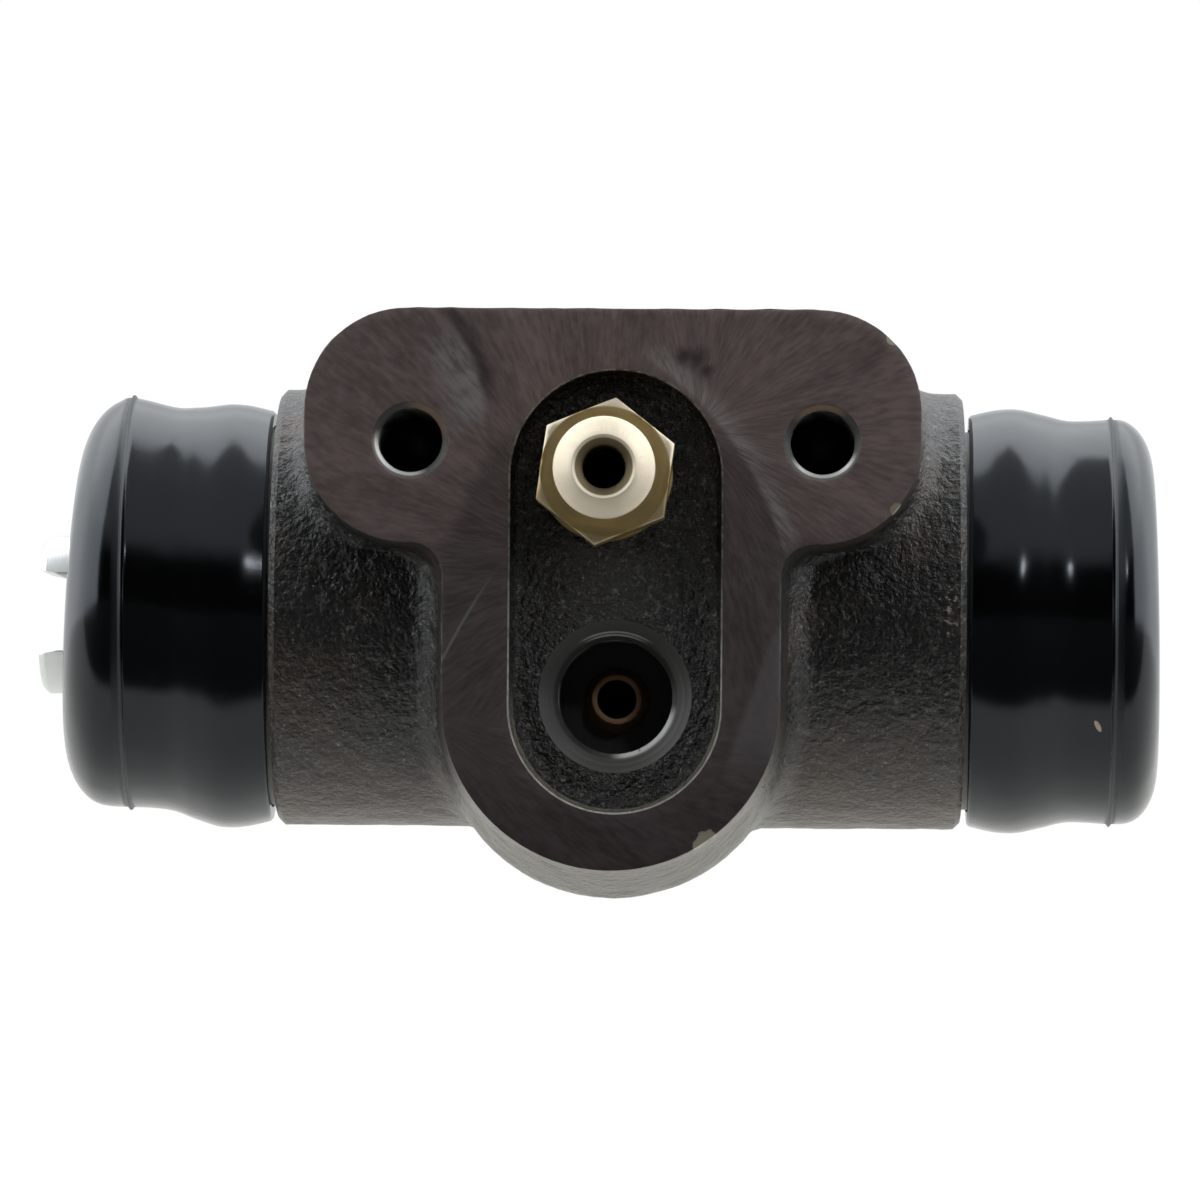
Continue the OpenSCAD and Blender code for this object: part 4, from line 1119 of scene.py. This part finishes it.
class WHEEL_OT_studio(bpy.types.Operator):
    """Camera, pale floor, white surround and a small lamp"""

    bl_idname = "wheel.studio"
    bl_label = "Studio"

    def execute(self, context):
        sizes = context.scene.wheel_studio
        self.place_camera(context.scene, sizes)
        self.lay_floor(sizes)
        self.light_world(context.scene, sizes)
        self.hang_lamp(sizes)
        context.scene.view_settings.view_transform = "Standard"
        return {"FINISHED"}

    def place_camera(self, scene, sizes):
        """Sets the camera so that the origin and the depth run where the photograph has them."""
        half = IMAGE_PX / 2
        into = Vector((sizes.vanish_x - half, sizes.vanish_y - half, sizes.focal_px)).normalized()
        along = Vector((1, math.tan(sizes.roll), 0))
        along = (along - into * along.dot(into)).normalized()
        turn = Matrix((along, into, along.cross(into)))
        right, down, ahead = (turn @ Vector(axis) for axis in ((1, 0, 0), (0, 1, 0), (0, 0, 1)))
        ray = turn @ Vector((sizes.origin_x - half, sizes.origin_y - half, sizes.focal_px))
        place = ray * (-sizes.distance / ray.y)
        bpy.ops.object.select_all(action="DESELECT")
        bpy.ops.object.camera_add()
        camera = bpy.context.object
        camera.data.sensor_width = SENSOR_MM
        camera.data.lens = sizes.focal_px * camera.data.sensor_width / IMAGE_PX
        camera.data.clip_start = NEAR_CLIP
        basis = Matrix((right, -down, -ahead)).transposed().to_4x4()
        camera.matrix_world = Matrix.Translation(place) @ basis
        scene.camera = camera

    def lay_floor(self, sizes):
        low = CAD_BOX[0][2] - sizes.floor_drop
        bpy.ops.object.select_all(action="DESELECT")
        bpy.ops.mesh.primitive_plane_add(size=FLOOR_SIZE, location=(0, 0, low))
        floor = bpy.context.object
        floor.name = "floor"
        bpy.ops.object.transform_apply(location=True, rotation=True, scale=True)
        floor.data.materials.append(floor_paint(sizes))

    def light_world(self, scene, sizes):
        """A bright wall behind the part and a dark room on the camera's side."""
        world = bpy.data.worlds.new("surround")
        world.use_nodes = True
        scene.world = world
        nodes = Nodes(world.node_tree)
        x, y, z = nodes.axes(nodes.node("ShaderNodeTexCoord", output="Generated"))
        tilt = math.radians(sizes.wall_tilt)
        behind = (abs(x) * sizes.wall_wrap + y * math.cos(tilt) - z * math.sin(tilt)).rise(-0.04, 0.08)
        above = z.rise(0.42, 0.64)
        wall = behind * (1.0 - y.rise(0.3, 0.95) * 0.6) * sizes.wall
        strength = sizes.room + above * sizes.ceiling + wall
        seen = nodes.node("ShaderNodeLightPath", output="Is Camera Ray")
        back = nodes.tree.nodes["Background"]
        nodes.feed(back.inputs["Color"], nodes.mix(sizes.air, (1.0, 1.0, 1.0), seen))
        nodes.feed(back.inputs["Strength"], strength + seen * (1.0 - strength))

    def hang_lamp(self, sizes):
        """A small lamp above the camera, to its right."""
        aim = Vector((0, BORE.y / 2, BORE.z))
        side, up = math.radians(sizes.lamp_side), math.radians(sizes.lamp_up)
        arm = Vector((math.sin(side) * math.cos(up), -math.cos(side) * math.cos(up), math.sin(up)))
        place = aim + arm * sizes.lamp_far
        bpy.ops.object.select_all(action="DESELECT")
        bpy.ops.object.light_add(type="AREA", location=place)
        lamp = bpy.context.object
        lamp.name = "key_lamp"
        lamp.rotation_euler = (-arm).to_track_quat("-Z", "Y").to_euler()
        lamp.data.shape = "DISK"
        lamp.data.size = sizes.lamp_size
        lamp.data.energy = sizes.lamp_power


def floor_paint(sizes):
    """Pale matt floor that keeps the part's shadow, in shade on the camera's side as gloss sees it."""
    finish = Finish("floor_paint")
    seen = finish.node("ShaderNodeLightPath", output="Is Camera Ray")
    in_front = 1.0 - finish.y.rise(-43.0, -26.0)
    tone = finish.mix(shade(sizes.floor, 0.66), shade(sizes.floor, 0.012), in_front)
    tone = finish.mix(tone, sizes.floor, seen)
    glow = finish.mix((0.0, 0.0, 0.0), (0.3, 0.3, 0.3), seen)
    finish.set(Emission_Strength=1.0)
    return finish.set(Base_Color=tone, Roughness=0.8, Emission_Color=glow)


class WHEEL_PT_panel(bpy.types.Panel):
    """Lists the pieces of the wheel cylinder and the studio"""

    bl_idname = "WHEEL_PT_panel"
    bl_label = "Wheel Cylinder"
    bl_space_type = "VIEW_3D"
    bl_region_type = "UI"
    bl_category = "Wheel Cylinder"

    def draw(self, context):
        for operator in STEPS:
            self.layout.operator(operator.bl_idname)


GROUPS = {
    "wheel_housing": HousingSizes,
    "wheel_boots": BootSizes,
    "wheel_fittings": FittingSizes,
    "wheel_studio": StudioSizes,
}
STEPS = (
    WHEEL_OT_housing, WHEEL_OT_boots, WHEEL_OT_inside,
    WHEEL_OT_bleeder, WHEEL_OT_pistons, WHEEL_OT_studio,
)


def register():
    for cls in (*GROUPS.values(), *STEPS, WHEEL_PT_panel):
        bpy.utils.register_class(cls)
    for name, group in GROUPS.items():
        setattr(bpy.types.Scene, name, PointerProperty(type=group))


def unregister():
    for name in GROUPS:
        delattr(bpy.types.Scene, name)
    for cls in (WHEEL_PT_panel, *reversed(STEPS), *reversed(GROUPS.values())):
        bpy.utils.unregister_class(cls)


def main():
    register()
    bpy.ops.wheel.housing()
    bpy.ops.wheel.boots()
    bpy.ops.wheel.inside()
    bpy.ops.wheel.bleeder()
    bpy.ops.wheel.pistons()
    bpy.ops.wheel.studio()


if __name__ == "__main__":
    main()
